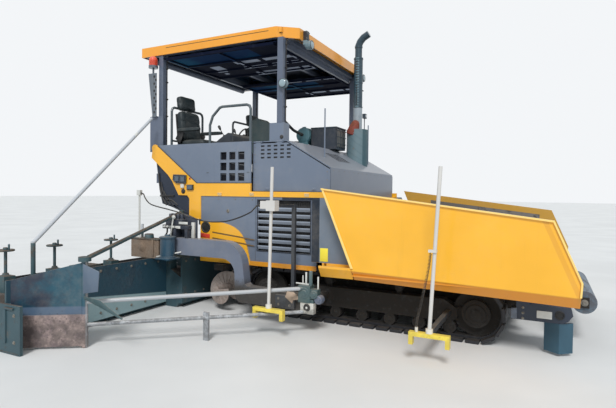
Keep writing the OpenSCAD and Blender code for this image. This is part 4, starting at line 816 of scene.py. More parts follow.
vinyl = soft_skin("seat_vinyl", colour(30, 42, 46), 420, 0.46, 0.18)
lamp_shell = painted("lamp_housing_paint", colour(34, 36, 40), 0.4, dust=0.2, tar=0.0, chips=0.1, coat=0.3, areas=lamp_parts)
black_plastic = soft_skin("black_plastic", colour(32, 33, 35), 700, 0.42, 0.25, 0.0004)
hose_rubber = soft_skin("hose_rubber", colour(30, 30, 32), 500, 0.55, 0.35, 0.0005)
awning_pale = painted("awning_sheet", colour(176, 184, 196), 0.9, dust=0.04, tar=0.0, chips=0.0, coat=0.0, areas=awning_lining, Specular_IOR_Level=0.1)
# painted shade: near black, for the shade behind the upper panel's windows
window_shade_dark = painted("window_lining_paint", colour(8, 13, 24), 0.8, dust=0.1, tar=0.0, chips=0.0, coat=0.0, Specular_IOR_Level=0.1)
hinge_cream = painted("hinge_cream_paint", colour(228, 196, 140), 0.4, dust=0.15, tar=0.0, chips=0.1)
lens_red = soft_skin("beacon_red_orange", colour(214, 74, 34), 60, 0.22, 0.15, 0.0006, Coat_Weight=0.8, Transmission_Weight=0.25)
lamp_glass = soft_skin("lamp_glass", colour(226, 230, 232), 45, 0.12, 0.15, 0.0015, Coat_Weight=1.0)
dusk_glass = soft_skin("dark_lamp_glass", colour(66, 84, 100), 45, 0.14, 0.2, 0.0015, Coat_Weight=1.0)
teal_glass = soft_skin("pale_teal_glass", colour(142, 164, 172), 45, 0.16, 0.15, 0.0015, Coat_Weight=1.0)
lamp_red = soft_skin("tail_lamp_red", colour(170, 28, 24), 60, 0.2, 0.15, 0.0008, Coat_Weight=0.9)
white_paint = soft_skin("white_enamel", colour(222, 222, 216), 300, 0.4, 0.35, 0.0004, Coat_Weight=0.3)
corner_navy = painted("corner_navy_paint", colour(24, 36, 54), 0.5, dust=0.2, tar=0.1, tar_top=1.5, chips=0.2, coat=0.1)
plate_red = painted("blank_plate_red", colour(214, 62, 40), 0.4, dust=0.15, tar=0.0, chips=0.1)
plate_yellow = painted("blank_plate_yellow", colour(246, 226, 60), 0.4, dust=0.15, tar=0.0, chips=0.1)
# painted shade for the accent cover's grooves
groove_shade_brown = painted("groove_brown_paint", colour(112, 84, 40), 0.5, dust=0.2, tar=0.0, chips=0.0)
brace_green = painted("gear_box_green", colour(58, 84, 88), 0.45, dust=0.3, tar=0.2, tar_top=0.6, chips=0.2)
sheet_beige = painted("bare_sheet_beige", colour(186, 162, 140), 0.5, dust=0.3, tar=0.1, chips=0.2)
canister_teal = painted("canister_teal_paint", colour(38, 72, 92), 0.35, dust=0.25, tar=0.1, chips=0.3)
violet_grey = painted("guide_plate_violet_grey", colour(88, 104, 122), 0.5, dust=0.15, tar=0.1, chips=0.2)
bolt_zinc = bare_steel("zinc_bolt", colour(150, 148, 140), 0.4, rust=0.25, soot=0.35, shine=0.8)

# %% [markdown]
# ## Finishes go on to the loaded parts
# Each part of the frame keeps its own mesh. Only its material slot changes, so the list
# below is the machine's paint plan: the name of a part, and what it is coated with.

# %% The paint plan
plan = {
    yellow: ["side_band_left", "side_band_right"],
    wing_yellow: ["hopper_wing_left", "hopper_wing_right"],
    roof_orange: ["canopy_roof"],
    blue_grey: ["upper_panel_left", "upper_panel_right", "hood_door_left", "hood_door_right"],
    cover_grey: ["side_cover_left", "side_cover_right"],
    hood_grey: ["hood"],
    arm_grey: ["tow_arm_left", "tow_arm_right"],
    hopper_grey: ["hopper_rear"],
    post_grey: ["canopy_frame"],
    rail_grey: ["handrails"],
    beacon_paint: ["beacon"],
    filter_navy: ["air_cleaner"],
    console_grey: ["console"],
    dark_grey: ["body_frame", "deck", "rear_valves", "lift_barrel_left", "lift_barrel_right", "screed_walkway"],
    chassis_black: ["chassis", "tunnel_plates", "side_plates", "track_frame_left", "track_frame_right",
                    "auger_beam", "push_beam"],
    engine_iron: ["engine_block"],
    track_dirt: ["track_left", "track_right"],
    scoured: ["auger_left", "auger_right"],
    roller_steel: ["push_roller_left", "push_roller_right"],
    hopper_floor: ["conveyor"],
    screed_teal: ["screed_main", "screed_extension_left", "screed_extension_right"],
    scraper_navy: ["track_scrapers"],
    screed_fittings_teal: ["screed_fittings"],
    brace_paint: ["screed_braces"],
    sensor_paint: ["sensor_mast", "front_sensor_pole"],
    chrome: ["lift_rod_left", "lift_rod_right"],
    stack_steel: ["exhaust_stack"],
    shield_steel: ["muffler_shield"],
    awning_pale: ["awning_left", "awning_right"],
    lamp_shell: ["lamps"],
}
for cord in (sensor_cable, curly_cable):
    cord.data.materials.append(hose_rubber)
    pieces.append(cord.name)
for coating, names in plan.items():
    for part in names:
        for i in range(max(1, len(nodes[part].data.materials))):
            if nodes[part].data.materials:
                nodes[part].data.materials[i] = coating
            else:
                nodes[part].data.materials.append(coating)
left_plain = sorted(set(nodes) - {n for names in plan.values() for n in names} - {"sensor_cable", "curly_cable_front"})
print("parts without a finish:", left_plain)

# %% [markdown]
# ## Padded seats
# A seat is foam under vinyl: crowned in the middle, pulled in at its rim and along its sewn
# seams. Each pad starts as a subdivided box whose vertices are moved on to that form. Then
# the skin is blown up a little by cloth simulation, so that the vinyl bulges between the
# seams. The left seat is the right seat's mirror image with a mesh of its own.

# %% Pads for seats and armrests
PAD_ROUND, PAD_CELL, PAD_CAP = 6, 0.012, 0.012


def pad(name, low, high, crown=0.2, seams=(), cuts=22, wings=0.0):
    """A crowned pad. seams are places along Y or Z, -1 to 1, where the thread pulls the skin in."""
    start_clean()
    bpy.ops.mesh.primitive_cube_add(size=2)
    piece = bpy.context.object
    piece.name = name
    edit(piece)
    bpy.ops.mesh.select_all(action="SELECT")
    bpy.ops.mesh.subdivide(number_cuts=cuts)
    done(piece)
    half = [(b - a) / 2 for a, b in zip(low, high)]
    middle = [(b + a) / 2 for a, b in zip(low, high)]
    thin = half.index(min(half))
    flat = [k for k in range(3) if k != thin]
    for v in piece.data.vertices:
        size = sum(abs(c) ** PAD_ROUND for c in v.co) ** (1 / PAD_ROUND)
        unit = v.co / size
        u, w = unit[flat[0]], unit[flat[1]]
        puff = 1 + crown * (1 - u * u) * (1 - w * w) + wings * max(0, abs(unit[1]) - 0.55) * (thin != 1)
        for kind, at in seams:
            along = unit[flat[kind]]
            puff -= 0.22 * math.exp(-((along - at) / 0.035) ** 2)
        unit[thin] *= puff / (1 + crown)
        v.co = [m + h * c for m, h, c in zip(middle, half, unit)]
    return piece


def swell(piece):
    """Air pressure under the skin rounds the pad; no vertex moves further than the cap."""
    only(piece)
    remesh = piece.modifiers.new("cells", "REMESH")
    remesh.mode = "VOXEL"
    remesh.voxel_size = PAD_CELL
    bpy.ops.object.modifier_apply(modifier="cells")
    rest = [v.co.copy() for v in piece.data.vertices]
    cloth = piece.modifiers.new("skin", "CLOTH")
    cloth.settings.use_pressure = True
    cloth.settings.uniform_pressure_force = 4
    cloth.settings.effector_weights.gravity = 0
    scene = bpy.context.scene
    for step in range(1, 21):
        scene.frame_set(step)
    bpy.ops.object.modifier_apply(modifier="skin")
    scene.frame_set(1)
    for v, home in zip(piece.data.vertices, rest):
        move = v.co - home
        if move.length > PAD_CAP:
            v.co = home + move.normalized() * PAD_CAP
    piece.data.update()
    piece.modifiers.new("finer", "SUBSURF").levels = 1
    bpy.ops.object.modifier_apply(modifier="finer")
    return piece


def lean(piece, about, degrees):
    piece.data.transform(Matrix.Translation(about) @ Matrix.Rotation(math.radians(degrees), 4, "Y")
                         @ Matrix.Translation([-c for c in about]))
    piece.data.update()
    return piece


# %% The two seats
seat_x, seat_y, floor_z = -1.98, -0.918, 1.86
cushion = pad("seat_cushion_right", (seat_x - 0.215, seat_y - 0.235, floor_z + 0.372),
              (seat_x + 0.255, seat_y + 0.235, floor_z + 0.500), 0.22, [(1, -0.52), (1, 0.52), (0, 0.35)], wings=0.5)
backrest = pad("seat_backrest_right", (seat_x - 0.235, seat_y - 0.225, floor_z + 0.475),
               (seat_x - 0.125, seat_y + 0.225, floor_z + 0.955), 0.25, [(0, -0.5), (0, 0.5), (1, 0.30), (1, -0.25)], wings=0.6)
headrest = pad("seat_headrest_right", (seat_x - 0.265, seat_y - 0.175, floor_z + 0.960),
               (seat_x - 0.140, seat_y + 0.175, floor_z + 1.178), 0.35, [(1, -0.75)], cuts=18)
for part in (cushion, backrest, headrest):
    swell(part)
for part in (backrest, headrest):
    lean(part, (seat_x - 0.18, seat_y, floor_z + 0.48), -7)
rests = [pad("rest", (seat_x - 0.205, seat_y + o - 0.033, floor_z + 0.615), (seat_x + 0.205, seat_y + o + 0.033, floor_z + 0.668),
             0.15, cuts=10) for o in (-0.26, 0.26)]
armrests = join("seat_armrests_right", rests)
for part, fill in ((cushion, 0.7), (backrest, 0.7), (headrest, 0.7), (armrests, 0.6)):
    twin = finish_pair(part, vinyl, smooth=60)
    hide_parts("seat_right")
    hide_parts("seat_left")

# Bellows, slides, shell and the brackets of the arms
bellows = turned("seat_bellows_right", [(0, 0)] + [(0.085 + 0.022 * (i % 2), 0.012 + 0.0275 * i) for i in range(12)] + [(0, 0.32)],
                 (seat_x, seat_y, floor_z), (0, 0, 1))
finish_pair(bellows, hose_rubber, smooth=20)
pan = block("pan", (seat_x - 0.20, seat_y - 0.19, floor_z + 0.325), (seat_x + 0.20, seat_y + 0.19, floor_z + 0.372), 0.008)
slides = [bar("slide", (seat_x - 0.22, seat_y + o, floor_z + 0.335), (seat_x + 0.23, seat_y + o, floor_z + 0.335), 0.013, 12, 0.003)
          for o in (-0.16, 0.16)]
shell = plate("shell", [(seat_x - 0.262, seat_y - 0.20, floor_z + 0.42), (seat_x - 0.262, seat_y + 0.20, floor_z + 0.42),
                        (seat_x - 0.320, seat_y + 0.19, floor_z + 0.90), (seat_x - 0.320, seat_y - 0.19, floor_z + 0.90)],
              (0.022, 0, 0.002), 0.008, 3)
brackets = [plate("bracket", [(seat_x - 0.26, seat_y + o, floor_z + 0.52), (seat_x - 0.17, seat_y + o, floor_z + 0.44),
                              (seat_x - 0.10, seat_y + o, floor_z + 0.60), (seat_x - 0.18, seat_y + o, floor_z + 0.66)],
                  (0, 0.012, 0), 0.003) for o in (-0.25, 0.238)]
stalks = [bar("stalk", (seat_x - 0.235, seat_y + o, floor_z + 0.90), (seat_x - 0.262, seat_y + o, floor_z + 1.02), 0.007, 10)
          for o in (-0.06, 0.06)]
knob = turned("knob", [(0, 0), (0.028, 0), (0.03, 0.006), (0.024, 0.022), (0, 0.025)],
              (seat_x - 0.06, seat_y - 0.235, floor_z + 0.40), (0, -1, 0), 20)
finish_pair(join("seat_shell_and_slides_right", [pan, shell, knob] + slides + brackets + stalks), black_plastic)
print("seats:", sum("seat_" in n for n in pieces), "pieces")

# %% [markdown]
# ## Controls, rails and floor
# Each desk has a row of rocker switches, two levers in rubber boots and a dial, all on its
# sloped top that faces the driver. The display sits behind a hood on the raised cover.

# %% Desks: switches, levers, display
slope = Vector((-1.440 + 1.300, 0, 2.350 - 2.425)).normalized()
desk_up = Vector((-slope.z, 0, slope.x))
desk_up = desk_up if desk_up.z > 0 else -desk_up


def on_desk(back, y):
    """A point on the desk's sloped top, back metres behind its front edge."""
    return Vector((-1.300, 0, 2.425)) + slope * back + Vector((0, y, 0))


switches, dials, levers, knobs = [], [], [], []
for i in range(7):
    for k in range(2):
        at = on_desk(0.022 + 0.052 * k, -1.085 + 0.042 * i)
        switch = block("switch", at + Vector((-0.013, -0.011, -0.004)), at + Vector((0.013, 0.011, 0.009)), 0.003)
        lean(switch, at, -math.degrees(math.atan2(desk_up.x, desk_up.z)) * -1)
        switches.append(switch)
frame_at = on_desk(0.048, -0.96)
for y in (-1.10, -0.74):
    at = on_desk(0.105, y)
    levers.append(bar("stem", at, at + desk_up * 0.13 + Vector((-0.02, 0, 0)), 0.006, 12))
    levers.append(turned("boot", [(0, 0.03), (0.012, 0.03), (0.018, 0.02), (0.024, 0.018), (0.032, 0.006), (0.036, 0)], at, desk_up, 20))
    knobs.append(turned("grip", [(0, 0), (0.012, 0.0), (0.017, 0.02), (0.02, 0.045), (0.017, 0.062), (0.008, 0.07), (0, 0.071)],
                        at + desk_up * 0.12 + Vector((-0.018, 0, 0)), desk_up, 20))
dials.append(turned("dial", [(0, 0.02), (0.016, 0.02), (0.02, 0.016), (0.021, 0.004), (0.03, 0.003), (0.031, 0)], on_desk(0.06, -0.745), desk_up, 24))
finish_pair(join("switches_right", switches + dials), black_plastic)
finish_pair(join("levers_right", levers), hose_rubber)
finish_pair(join("lever_grips_right", knobs), black_plastic)

hood_side = [(-1.467, 2.470), (-1.520, 2.480), (-1.515, 2.668), (-1.462, 2.680)]
display_hood = plate("hood", [(x, -0.315, z) for x, z in hood_side], (0, 0.23, 0), 0.008)
edit(display_hood)
pick(display_hood, "faces", lambda m, n: n.x < -0.9)
bpy.ops.mesh.inset(thickness=0.016)
bpy.ops.mesh.extrude_region_move(TRANSFORM_OT_translate={"value": (0.02, 0, 0)})
done(display_hood)
screen_glass = plate("display_glass", [(-1.4975, -0.298, 2.497), (-1.4975, -0.102, 2.497), (-1.494, -0.102, 2.652), (-1.494, -0.298, 2.652)],
                     (-0.004, 0, 0), 0.0015)
cover_buttons = [block("button", (-1.472, -0.32 + 0.03 * i, 2.41), (-1.452, -0.30 + 0.03 * i, 2.43), 0.003) for i in range(8)]
wheel_at = Vector((-1.47, -0.52, 2.46))
rim_turn = Matrix.Rotation(math.radians(-62), 4, "Y")
start_clean()
bpy.ops.mesh.primitive_torus_add(major_radius=0.115, minor_radius=0.011, major_segments=40, minor_segments=12)
rim = bpy.context.object
spokes = [bar("spoke", (0, 0, -0.02), (0.11 * math.cos(a), 0.11 * math.sin(a), 0), 0.006, 10) for a in (0.5, 2.6, 4.7)]
hub = turned("hub", [(0, 0.012), (0.022, 0.010), (0.028, 0), (0.026, -0.04), (0, -0.045)], (0, 0, 0), (0, 0, 1), 24)
wheel = join("steering_wheel", [rim, hub] + spokes)
wheel.data.transform(Matrix.Translation(wheel_at) @ rim_turn)
column = bar("steering_column", wheel_at + Vector((0.01, 0, -0.01)), (-1.38, -0.52, 2.17), 0.022, 20, 0.004)
finish_piece(join("display_hood_and_buttons", [display_hood] + cover_buttons), console_grey)
glass_dark = soft_skin("display_dark_glass", colour(16, 22, 28), 60, 0.08, 0.2, 0.0001, Coat_Weight=1.0)
finish_piece(screen_glass, glass_dark)
finish_piece(join("steering_wheel_and_column", [wheel, column]), black_plastic, smooth=50)

# Feet of the rails, floor ribs against slipping, and treads on the steps
feet = []
for x, y in ((-1.487, -1.310), (-0.818, -1.310)):
    feet.append(turned("foot", [(0, 0.012), (0.024, 0.012), (0.03, 0.008), (0.05, 0.006), (0.052, 0)], (x, y + 0.0, floor_z), (0, 0, 1), 24))
for y in (-1.130, -0.420):
    feet.append(turned("foot", [(0, 0.012), (0.024, 0.012), (0.03, 0.008), (0.05, 0.006), (0.052, 0)], (-2.345, y, floor_z), (0, 0, 1), 24))
finish_pair(join("rail_feet_right", feet), rail_grey)
ribs = [block("rib", (-2.42 + 0.055 * i, -1.25, floor_z), (-2.405 + 0.055 * i, 1.25, floor_z + 0.004), 0.0015)
        for i in range(28)]
finish_piece(join("floor_ribs", ribs), dark_grey)
treads = [block("tread", (-2.495 + 0.03 * i, -0.29, z), (-2.487 + 0.03 * i, 0.29, z + 0.006), 0.002)
          for i in range(3) for z in (1.305, 1.585)]
finish_piece(join("step_treads", treads), bolt_zinc)
print("platform pieces:", len(pieces))

# %% [markdown]
# ## Lamps and lenses
# A lamp reads as a lamp by its lens: a shallow dome of ribbed glass in a raised rim. Each is
# turned from a short profile. The glass is a plain pale or coloured finish with a hard coat,
# because the lamps are off.

# %% Lenses in their rims


def lens(name, at, way, r, glass, dome=0.25, rim=black_plastic, body="tractor", pair=True):
    """A domed lens of radius r in a rounded rim, standing on a housing's face."""
    glassy = turned(name + "_glass", [(0, dome * r), (0.35 * r, dome * r * 0.94), (0.65 * r, dome * r * 0.72),
                                      (0.86 * r, dome * r * 0.36), (0.9 * r, 0.001)], at, way, 32)
    ring = turned(name + "_rim", [(0.86 * r, 0.0), (0.88 * r, 0.10 * r), (0.94 * r, 0.14 * r), (1.0 * r, 0.10 * r), (1.03 * r, 0)], at, way, 32)
    if pair:
        finish_pair(glassy, glass, body, 50)
        return finish_pair(ring, rim, body, 50)
    finish_piece(glassy, glass, body, 50)
    return finish_piece(ring, rim, body, 50)


def square_lens(name, low, high, glass):
    """A rounded square lens with a sunk border, on a face that looks to the side."""
    piece = block(name, low, high, 0.005, 3)
    edit(piece)
    pick(piece, "faces", lambda m, n: n.y < -0.9)
    bpy.ops.mesh.inset(thickness=0.006)
    bpy.ops.mesh.extrude_region_move(TRANSFORM_OT_translate={"value": (0, 0.003, 0)})
    done(piece)
    return finish_pair(piece, glass)


lens("front_lamp_right", (-0.088, -0.986, 3.533), (1, 0, 0), 0.058, teal_glass, rim=dark_grey)
lens("post_lamp_right", (-0.330, -1.332, 2.990), (0, -1, 0), 0.058, teal_glass, rim=dark_grey, pair=False)
square_lens("tail_lamp_rear_right", (-2.052, -1.399, 1.740), (-1.972, -1.386, 1.818), dusk_glass)
square_lens("tail_lamp_front_right", (-1.948, -1.399, 1.734), (-1.868, -1.386, 1.812), dusk_glass)
square_lens("side_lamp_right", (-1.824, -1.394, 1.630), (-1.732, -1.383, 1.689), dusk_glass)
square_lens("white_marker_right", (-1.944, -1.392, 1.648), (-1.886, -1.365, 1.706), white_paint)
plug = turned("oval_plug_right", [(0, 0.016), (0.020, 0.015), (0.033, 0.008), (0.036, 0)], (-1.908, -1.365, 1.603), (0, -1, 0), 28)
finish_pair(plug, black_plastic)
reflector = turned("small_reflector_right", [(0, 0.006), (0.012, 0.005), (0.016, 0.002), (0.017, 0)], (-1.792, -1.365, 1.782), (0, -1, 0), 24)
finish_pair(reflector, lamp_red)

# Cage and bracket bolts of the lamps, and a rim round the tail lamps
tail_rim = plate("tail_lamp_rim_right", [(-2.088, -1.386, 1.762), (-2.077, -1.386, 1.842), (-1.842, -1.386, 1.832), (-1.846, -1.386, 1.710), (-2.022, -1.386, 1.716)],
                 (0, -0.006, 0), 0.0025)
edit(tail_rim)
pick(tail_rim, "faces", lambda m, n: n.y < -0.9)
bpy.ops.mesh.inset(thickness=0.010)
bpy.ops.mesh.extrude_region_move(TRANSFORM_OT_translate={"value": (0, 0.004, 0)})
done(tail_rim)
finish_pair(tail_rim, dark_grey)
finish_pair(bolts("lamp_bolts_right", [(-0.146, -0.952, 3.62), (-0.146, -1.020, 3.62), (-0.146, -0.952, 3.70), (-0.146, -1.020, 3.70)], (1, 0, 0), 0.007),
            bolt_zinc)
print("lamps done:", len(pieces))

# %% [markdown]
# ## Roof, posts and beacon
# The roof is a thin skin over ribs. From above it shows pressed beads and four lifting eyes;
# from below a few conduits run to the lamps. The beacon's bracket is a sheet with lightening
# holes, which are sunk rings here because the sheet stays closed.

# %% Roof skin, eyes and conduits
roof_top, roof_low = 3.730, 3.593
beads = []
for y in (-0.95, -0.57, -0.19, 0.19, 0.57, 0.95):
    bead = block("bead", (-2.62, y - 0.045, roof_top - 0.004), (-0.50, y + 0.045, roof_top + 0.014))
    edit(bead)
    pick(bead, "faces", lambda m, n: n.z > 0.9)
    bpy.ops.mesh.inset(thickness=0.014)
    bpy.ops.transform.translate(value=(0, 0, 0.004))
    bpy.ops.mesh.select_all(action="SELECT")
    bpy.ops.mesh.bevel(offset=0.005, segments=2, affect="EDGES")
    beads.append(done(bead))
finish_piece(join("roof_beads", beads), roof_orange)
eyes = []
for x, y in ((-2.41, 0.57), (-0.60, 0.57)):
    start_clean()
    bpy.ops.mesh.primitive_torus_add(location=(x, -y, roof_top + 0.045), rotation=(math.pi / 2, 0, 0), major_radius=0.032,
                                     minor_radius=0.009, major_segments=28, minor_segments=10)
    bpy.ops.object.transform_apply(location=True, rotation=True, scale=True)
    eyes.append(bpy.context.object)
    eyes.append(turned("collar", [(0, 0.018), (0.016, 0.018), (0.03, 0.008), (0.034, 0)], (x, -y, roof_top), (0, 0, 1), 20))
finish_pair(join("lifting_eyes_right", eyes), bolt_zinc, smooth=60)

conduits = [pipe("conduit", [(-0.392 + 0.048, -1.215, 2.52), (-0.392 + 0.048, -1.215, 3.56), (-0.30, -1.215, 3.575), (-0.19, -0.99, 3.575), (-0.166, -0.986, 3.545)], 0.008, 12),
            pipe("conduit", [(-2.41 + 0.048, -1.215, 1.9), (-2.41 + 0.048, -1.215, 3.54)], 0.008, 12)]
clips = [block("clip", (x - 0.014, -1.232, z), (x + 0.014, -1.198, z + 0.02), 0.004)
         for x, top in ((-0.344, 3.5), (-2.362, 3.4)) for z in (2.7, 2.95, 3.2, top)]
finish_pair(join("conduits_right", conduits + clips), hose_rubber)
feet = []
for x, foot in ((-0.392, 2.268),):
    feet.append(block("foot", (x - 0.085, 1.170, foot), (x + 0.085, 1.258, foot + 0.014), 0.003))
finish_piece(join("post_foot_left", feet), post_grey)
finish_piece(bolts("post_foot_bolts_left", [(-0.462, 1.185, 2.282), (-0.322, 1.185, 2.282), (-0.462, 1.245, 2.282), (-0.322, 1.245, 2.282)], (0, 0, 1), 0.010), bolt_zinc)

# Beacon: ribbed lens skirt, and sunk rings that stand for the bracket's holes
beacon_ribs = [turned("rib", [(0.0605, 0.0), (0.0645, 0.002), (0.0645, 0.006), (0.0605, 0.008)], (-2.51, -1.34, 3.444 + 0.014 * i), (0, 0, 1), 40) for i in range(5)]
finish_piece(join("beacon_ribs", beacon_ribs), lens_red, smooth=60)
holes = [turned("hole", [(0, 0.001), (0.011, 0.001), (0.012, 0.003), (0.017, 0.003), (0.018, 0)], (-2.485 + 0.034 * (k % 2), -1.346, 2.76 + 0.052 * k), (0, -1, 0), 18)
         for k in range(11)]
finish_piece(join("beacon_bracket_holes", holes), black_plastic)
print("canopy done:", len(pieces))

# %% [markdown]
# ## Hood, doors and exhaust
# The hood's doors have a slot field, so a dark sheet lies behind the slots, as the real one's
# gauze does. Two latches with key holes and a row of small rivets show how it is held. The
# stack is clamped in rings, and the heat shield has a folded edge; its dents are painted shade.

# %% Doors, slots and rivets
half_door, door_face = 1.284, 1.308
gauze = plate("door_gauze_right", [(-0.70, -1.2955, 2.015), (-0.17, -1.2955, 2.015), (-0.17, -1.2955, 2.17), (-0.29, -1.2955, 2.232), (-0.70, -1.2955, 2.232)],
              (0, 0.004, 0), 0.001)
finish_pair(gauze, black_plastic, "hood_door_right")


def on_slope(x, y, out):
    """A point out metres above the hood's sloped front."""
    n = Vector((0.356, 0, 0.620)).normalized()
    return Vector((x, y, 2.269 - (x + 0.282) * 0.5742)) + n * out


slope_gauze = plate("slope_gauze", [on_slope(-0.15, -0.56, -0.020), on_slope(0.15, -0.56, -0.020), on_slope(0.15, -0.04, -0.020), on_slope(-0.15, -0.04, -0.020)],
                    Vector((0.356, 0, 0.620)).normalized() * 0.004, 0.001)
finish_piece(slope_gauze, black_plastic)
latches = []
for x in (-0.56, 0.12):
    latches.append(block("latch", (x - 0.030, -door_face - 0.005, 1.628), (x + 0.030, -door_face + 0.002, 1.662), 0.0025))
    latches.append(turned("key_hole", [(0, 0.003), (0.008, 0.003), (0.010, 0)], (x, -door_face - 0.005, 1.645), (0, -1, 0), 20))
finish_pair(join("door_latches_right", latches), blue_grey, "hood_door_right")
finish_pair(bolts("door_rivets_right", row((-0.745, -door_face, 1.70), (-0.745, -door_face, 2.19), 6) + row((0.300, -door_face, 1.66), (0.300, -door_face, 1.86), 3),
                  (0, -1, 0), 0.005, 10), bolt_zinc, "hood_door_right")
finish_piece(bolts("hood_front_rivets", row((0.338, -1.20, 1.880), (0.338, 1.20, 1.880), 15), (1, 0, 0), 0.005, 10), bolt_zinc)
ridge = [plate("ridge", [(-0.79, y, 2.269), (-0.30, y, 2.269), (-0.30, y, 2.280), (-0.79, y, 2.280)], (0, 0.030, 0), 0.004) for y in (-0.80, 0.77)]
caps = [turned("cap", [(0, 0.060), (0.034, 0.058), (0.040, 0.048), (0.040, 0.018), (0.052, 0.014), (0.052, 0)], at, (0, 0, 1), 28)
        for at in ((-0.50, -0.62, 2.269), (-0.66, 0.62, 2.269))]
finish_piece(join("hood_ridges", ridge), blue_grey)
finish_piece(join("filler_caps", caps), black_plastic)

# %% Cabinet, intake and filters
cabinet_door = plate("cabinet_door", [(-0.530, -1.2625, 2.285), (-0.345, -1.2625, 2.285), (-0.345, -1.2625, 2.485), (-0.530, -1.2625, 2.485)], (0, -0.004, 0), 0.0015)
finish_piece(cabinet_door, blue_grey)
knob = turned("cabinet_knob", [(0, 0.030), (0.022, 0.028), (0.026, 0.020), (0.026, 0.008), (0.012, 0.004), (0.010, 0)], (-0.360, -1.266, 2.315), (0, -1, 0), 24)
hinge_pins = [bar("pin", (-0.533, -1.269, z), (-0.533, -1.269, z + 0.035), 0.006, 10, 0.002) for z in (2.31, 2.43)]
finish_piece(join("cabinet_knob_and_pins", [knob] + hinge_pins), black_plastic)
intake = pipe("intake_pipe", [(-0.455, -1.185, 2.499), (-0.455, -1.185, 2.560), (-0.56, -0.90, 2.600), (-0.715, -0.30, 2.530), (-0.715, 0.004, 2.497)], 0.021, 16, 0.10)
bands = [turned("band", [(0.021, 0), (0.025, 0.003), (0.025, 0.013), (0.021, 0.016)], at, way, 24)
         for at, way in (((-0.455, -1.185, 2.505), (0, 0, 1)), ((-0.715, -0.06, 2.502), (0, 1, 0)))]
finish_piece(join("intake_pipe_and_bands", [intake] + bands), hose_rubber, smooth=60)
wings = [bar("wing_screw", (-0.715 - 0.03, y, 2.497 + 0.128), (-0.715 + 0.03, y, 2.497 + 0.128), 0.006, 10, 0.002) for y in (0.04, 0.36)]
end_cap = turned("end_cap", [(0, 0.022), (0.05, 0.020), (0.095, 0.012), (0.11, 0.004), (0.114, 0)], (-0.715, 0.0, 2.497), (0, -1, 0), 36)
finish_piece(join("filter_cap_and_screws", [end_cap] + wings), filter_navy)
box_lids = []
for z in (2.36, 2.46, 2.56):
    box_lids.append(bar("strap", (-0.156, 0.03, z), (-0.156, 0.39, z), 0.007, 10, 0.002))
lid = block("lid", (-0.59, 0.008, 2.590), (-0.155, 0.412, 2.607), 0.006)
finish_piece(join("filter_box_lid_and_straps", [lid] + box_lids), filter_navy)
gaps = [block("mesh_panel", (-0.1575, 0.066 + 0.064 * i, 2.31), (-0.1545, 0.092 + 0.064 * i, 2.57), 0.001) for i in range(5)]
finish_piece(join("filter_box_mesh", gaps), bolt_zinc)

# %% Stack rings, shield edge and outlet
stack = Vector((-0.022, 0.551, 0))
rings = [turned("ring", [(0.069, 0), (0.0745, 0.002), (0.0745, 0.022), (0.069, 0.024)], stack + Vector((0, 0, z)), (0, 0, 1), 40) for z in (2.955, 3.34, 3.72)]
finish_piece(join("stack_rings", rings), stack_steel, smooth=50)
slots = [plate("slot", [stack + Vector((-0.012, -0.0705, z)), stack + Vector((0.012, -0.0705, z)), stack + Vector((0.012, -0.0705, z + 0.022)),
                        stack + Vector((-0.012, -0.0705, z + 0.022))], (0, 0.003, 0), 0.001) for z in [3.00 + 0.042 * i for i in range(17) if i != 8]]
finish_piece(join("stack_slots", slots), black_plastic)
hem = [pipe("hem", [stack + Vector((0.168 * math.cos(a), -0.168 * abs(math.sin(a)), 2.600)) for a in [math.pi * k / 20 for k in range(21)]], 0.007, 8, 0.001)]
hem += [bar("edge", stack + Vector((s * 0.168, 0, low)), stack + Vector((s * 0.168, 0, 2.600)), 0.007, 8) for s, low in ((-1, 2.24), (1, 2.07))]
finish_piece(join("shield_hem", hem), shield_steel, smooth=60)
finish_piece(bolts("shield_bolts", [stack + Vector((0.171 * math.cos(a), -0.171 * math.sin(a), z)) for a in (math.radians(90),) for z in (2.30, 2.55)], (0, -1, 0), 0.008), bolt_zinc)
outlet = turned("muffler_outlet", [(0, 0.0), (0.070, 0.0), (0.092, 0.012), (0.094, 0.05), (0.080, 0.13), (0.062, 0.20), (0.040, 0.235), (0, 0.245)],
                (-0.085, 0.455, 2.520), (0.34, 0, 0.94), 32)
outlet_foot = pipe("outlet_foot", [(-0.06, 0.50, 2.40), (-0.06, 0.495, 2.50), (-0.10, 0.465, 2.60)], 0.045, 20, 0.06)
finish_piece(join("muffler_outlet", [outlet, outlet_foot]), rusty_iron, smooth=50)
muffler = turned("muffler_drum", [(0, 0), (0.10, 0.004), (0.125, 0.02), (0.13, 0.05), (0.13, 0.26), (0.125, 0.29), (0.10, 0.305), (0.06, 0.31)],
                 (-0.022, 0.551, 2.14), (0, 0, 1), 40)
finish_piece(muffler, rusty_iron, smooth=50)
lamp_face = lens("stack_lamp", (0.150, 0.461, 2.805), (1, 0, 0.0), 0.030, lamp_glass, pair=False)
print("hood and exhaust done:", len(pieces))

# %% [markdown]
# ## The body's sides
# The yellow band turns down round the rear lamps in one stepped sheet, so its lower corner is
# added here as a plate flush with the band. Behind it the corner is dark with hoses. The
# louvre is a frame round slanted slats, and the radiator's core shows between them.

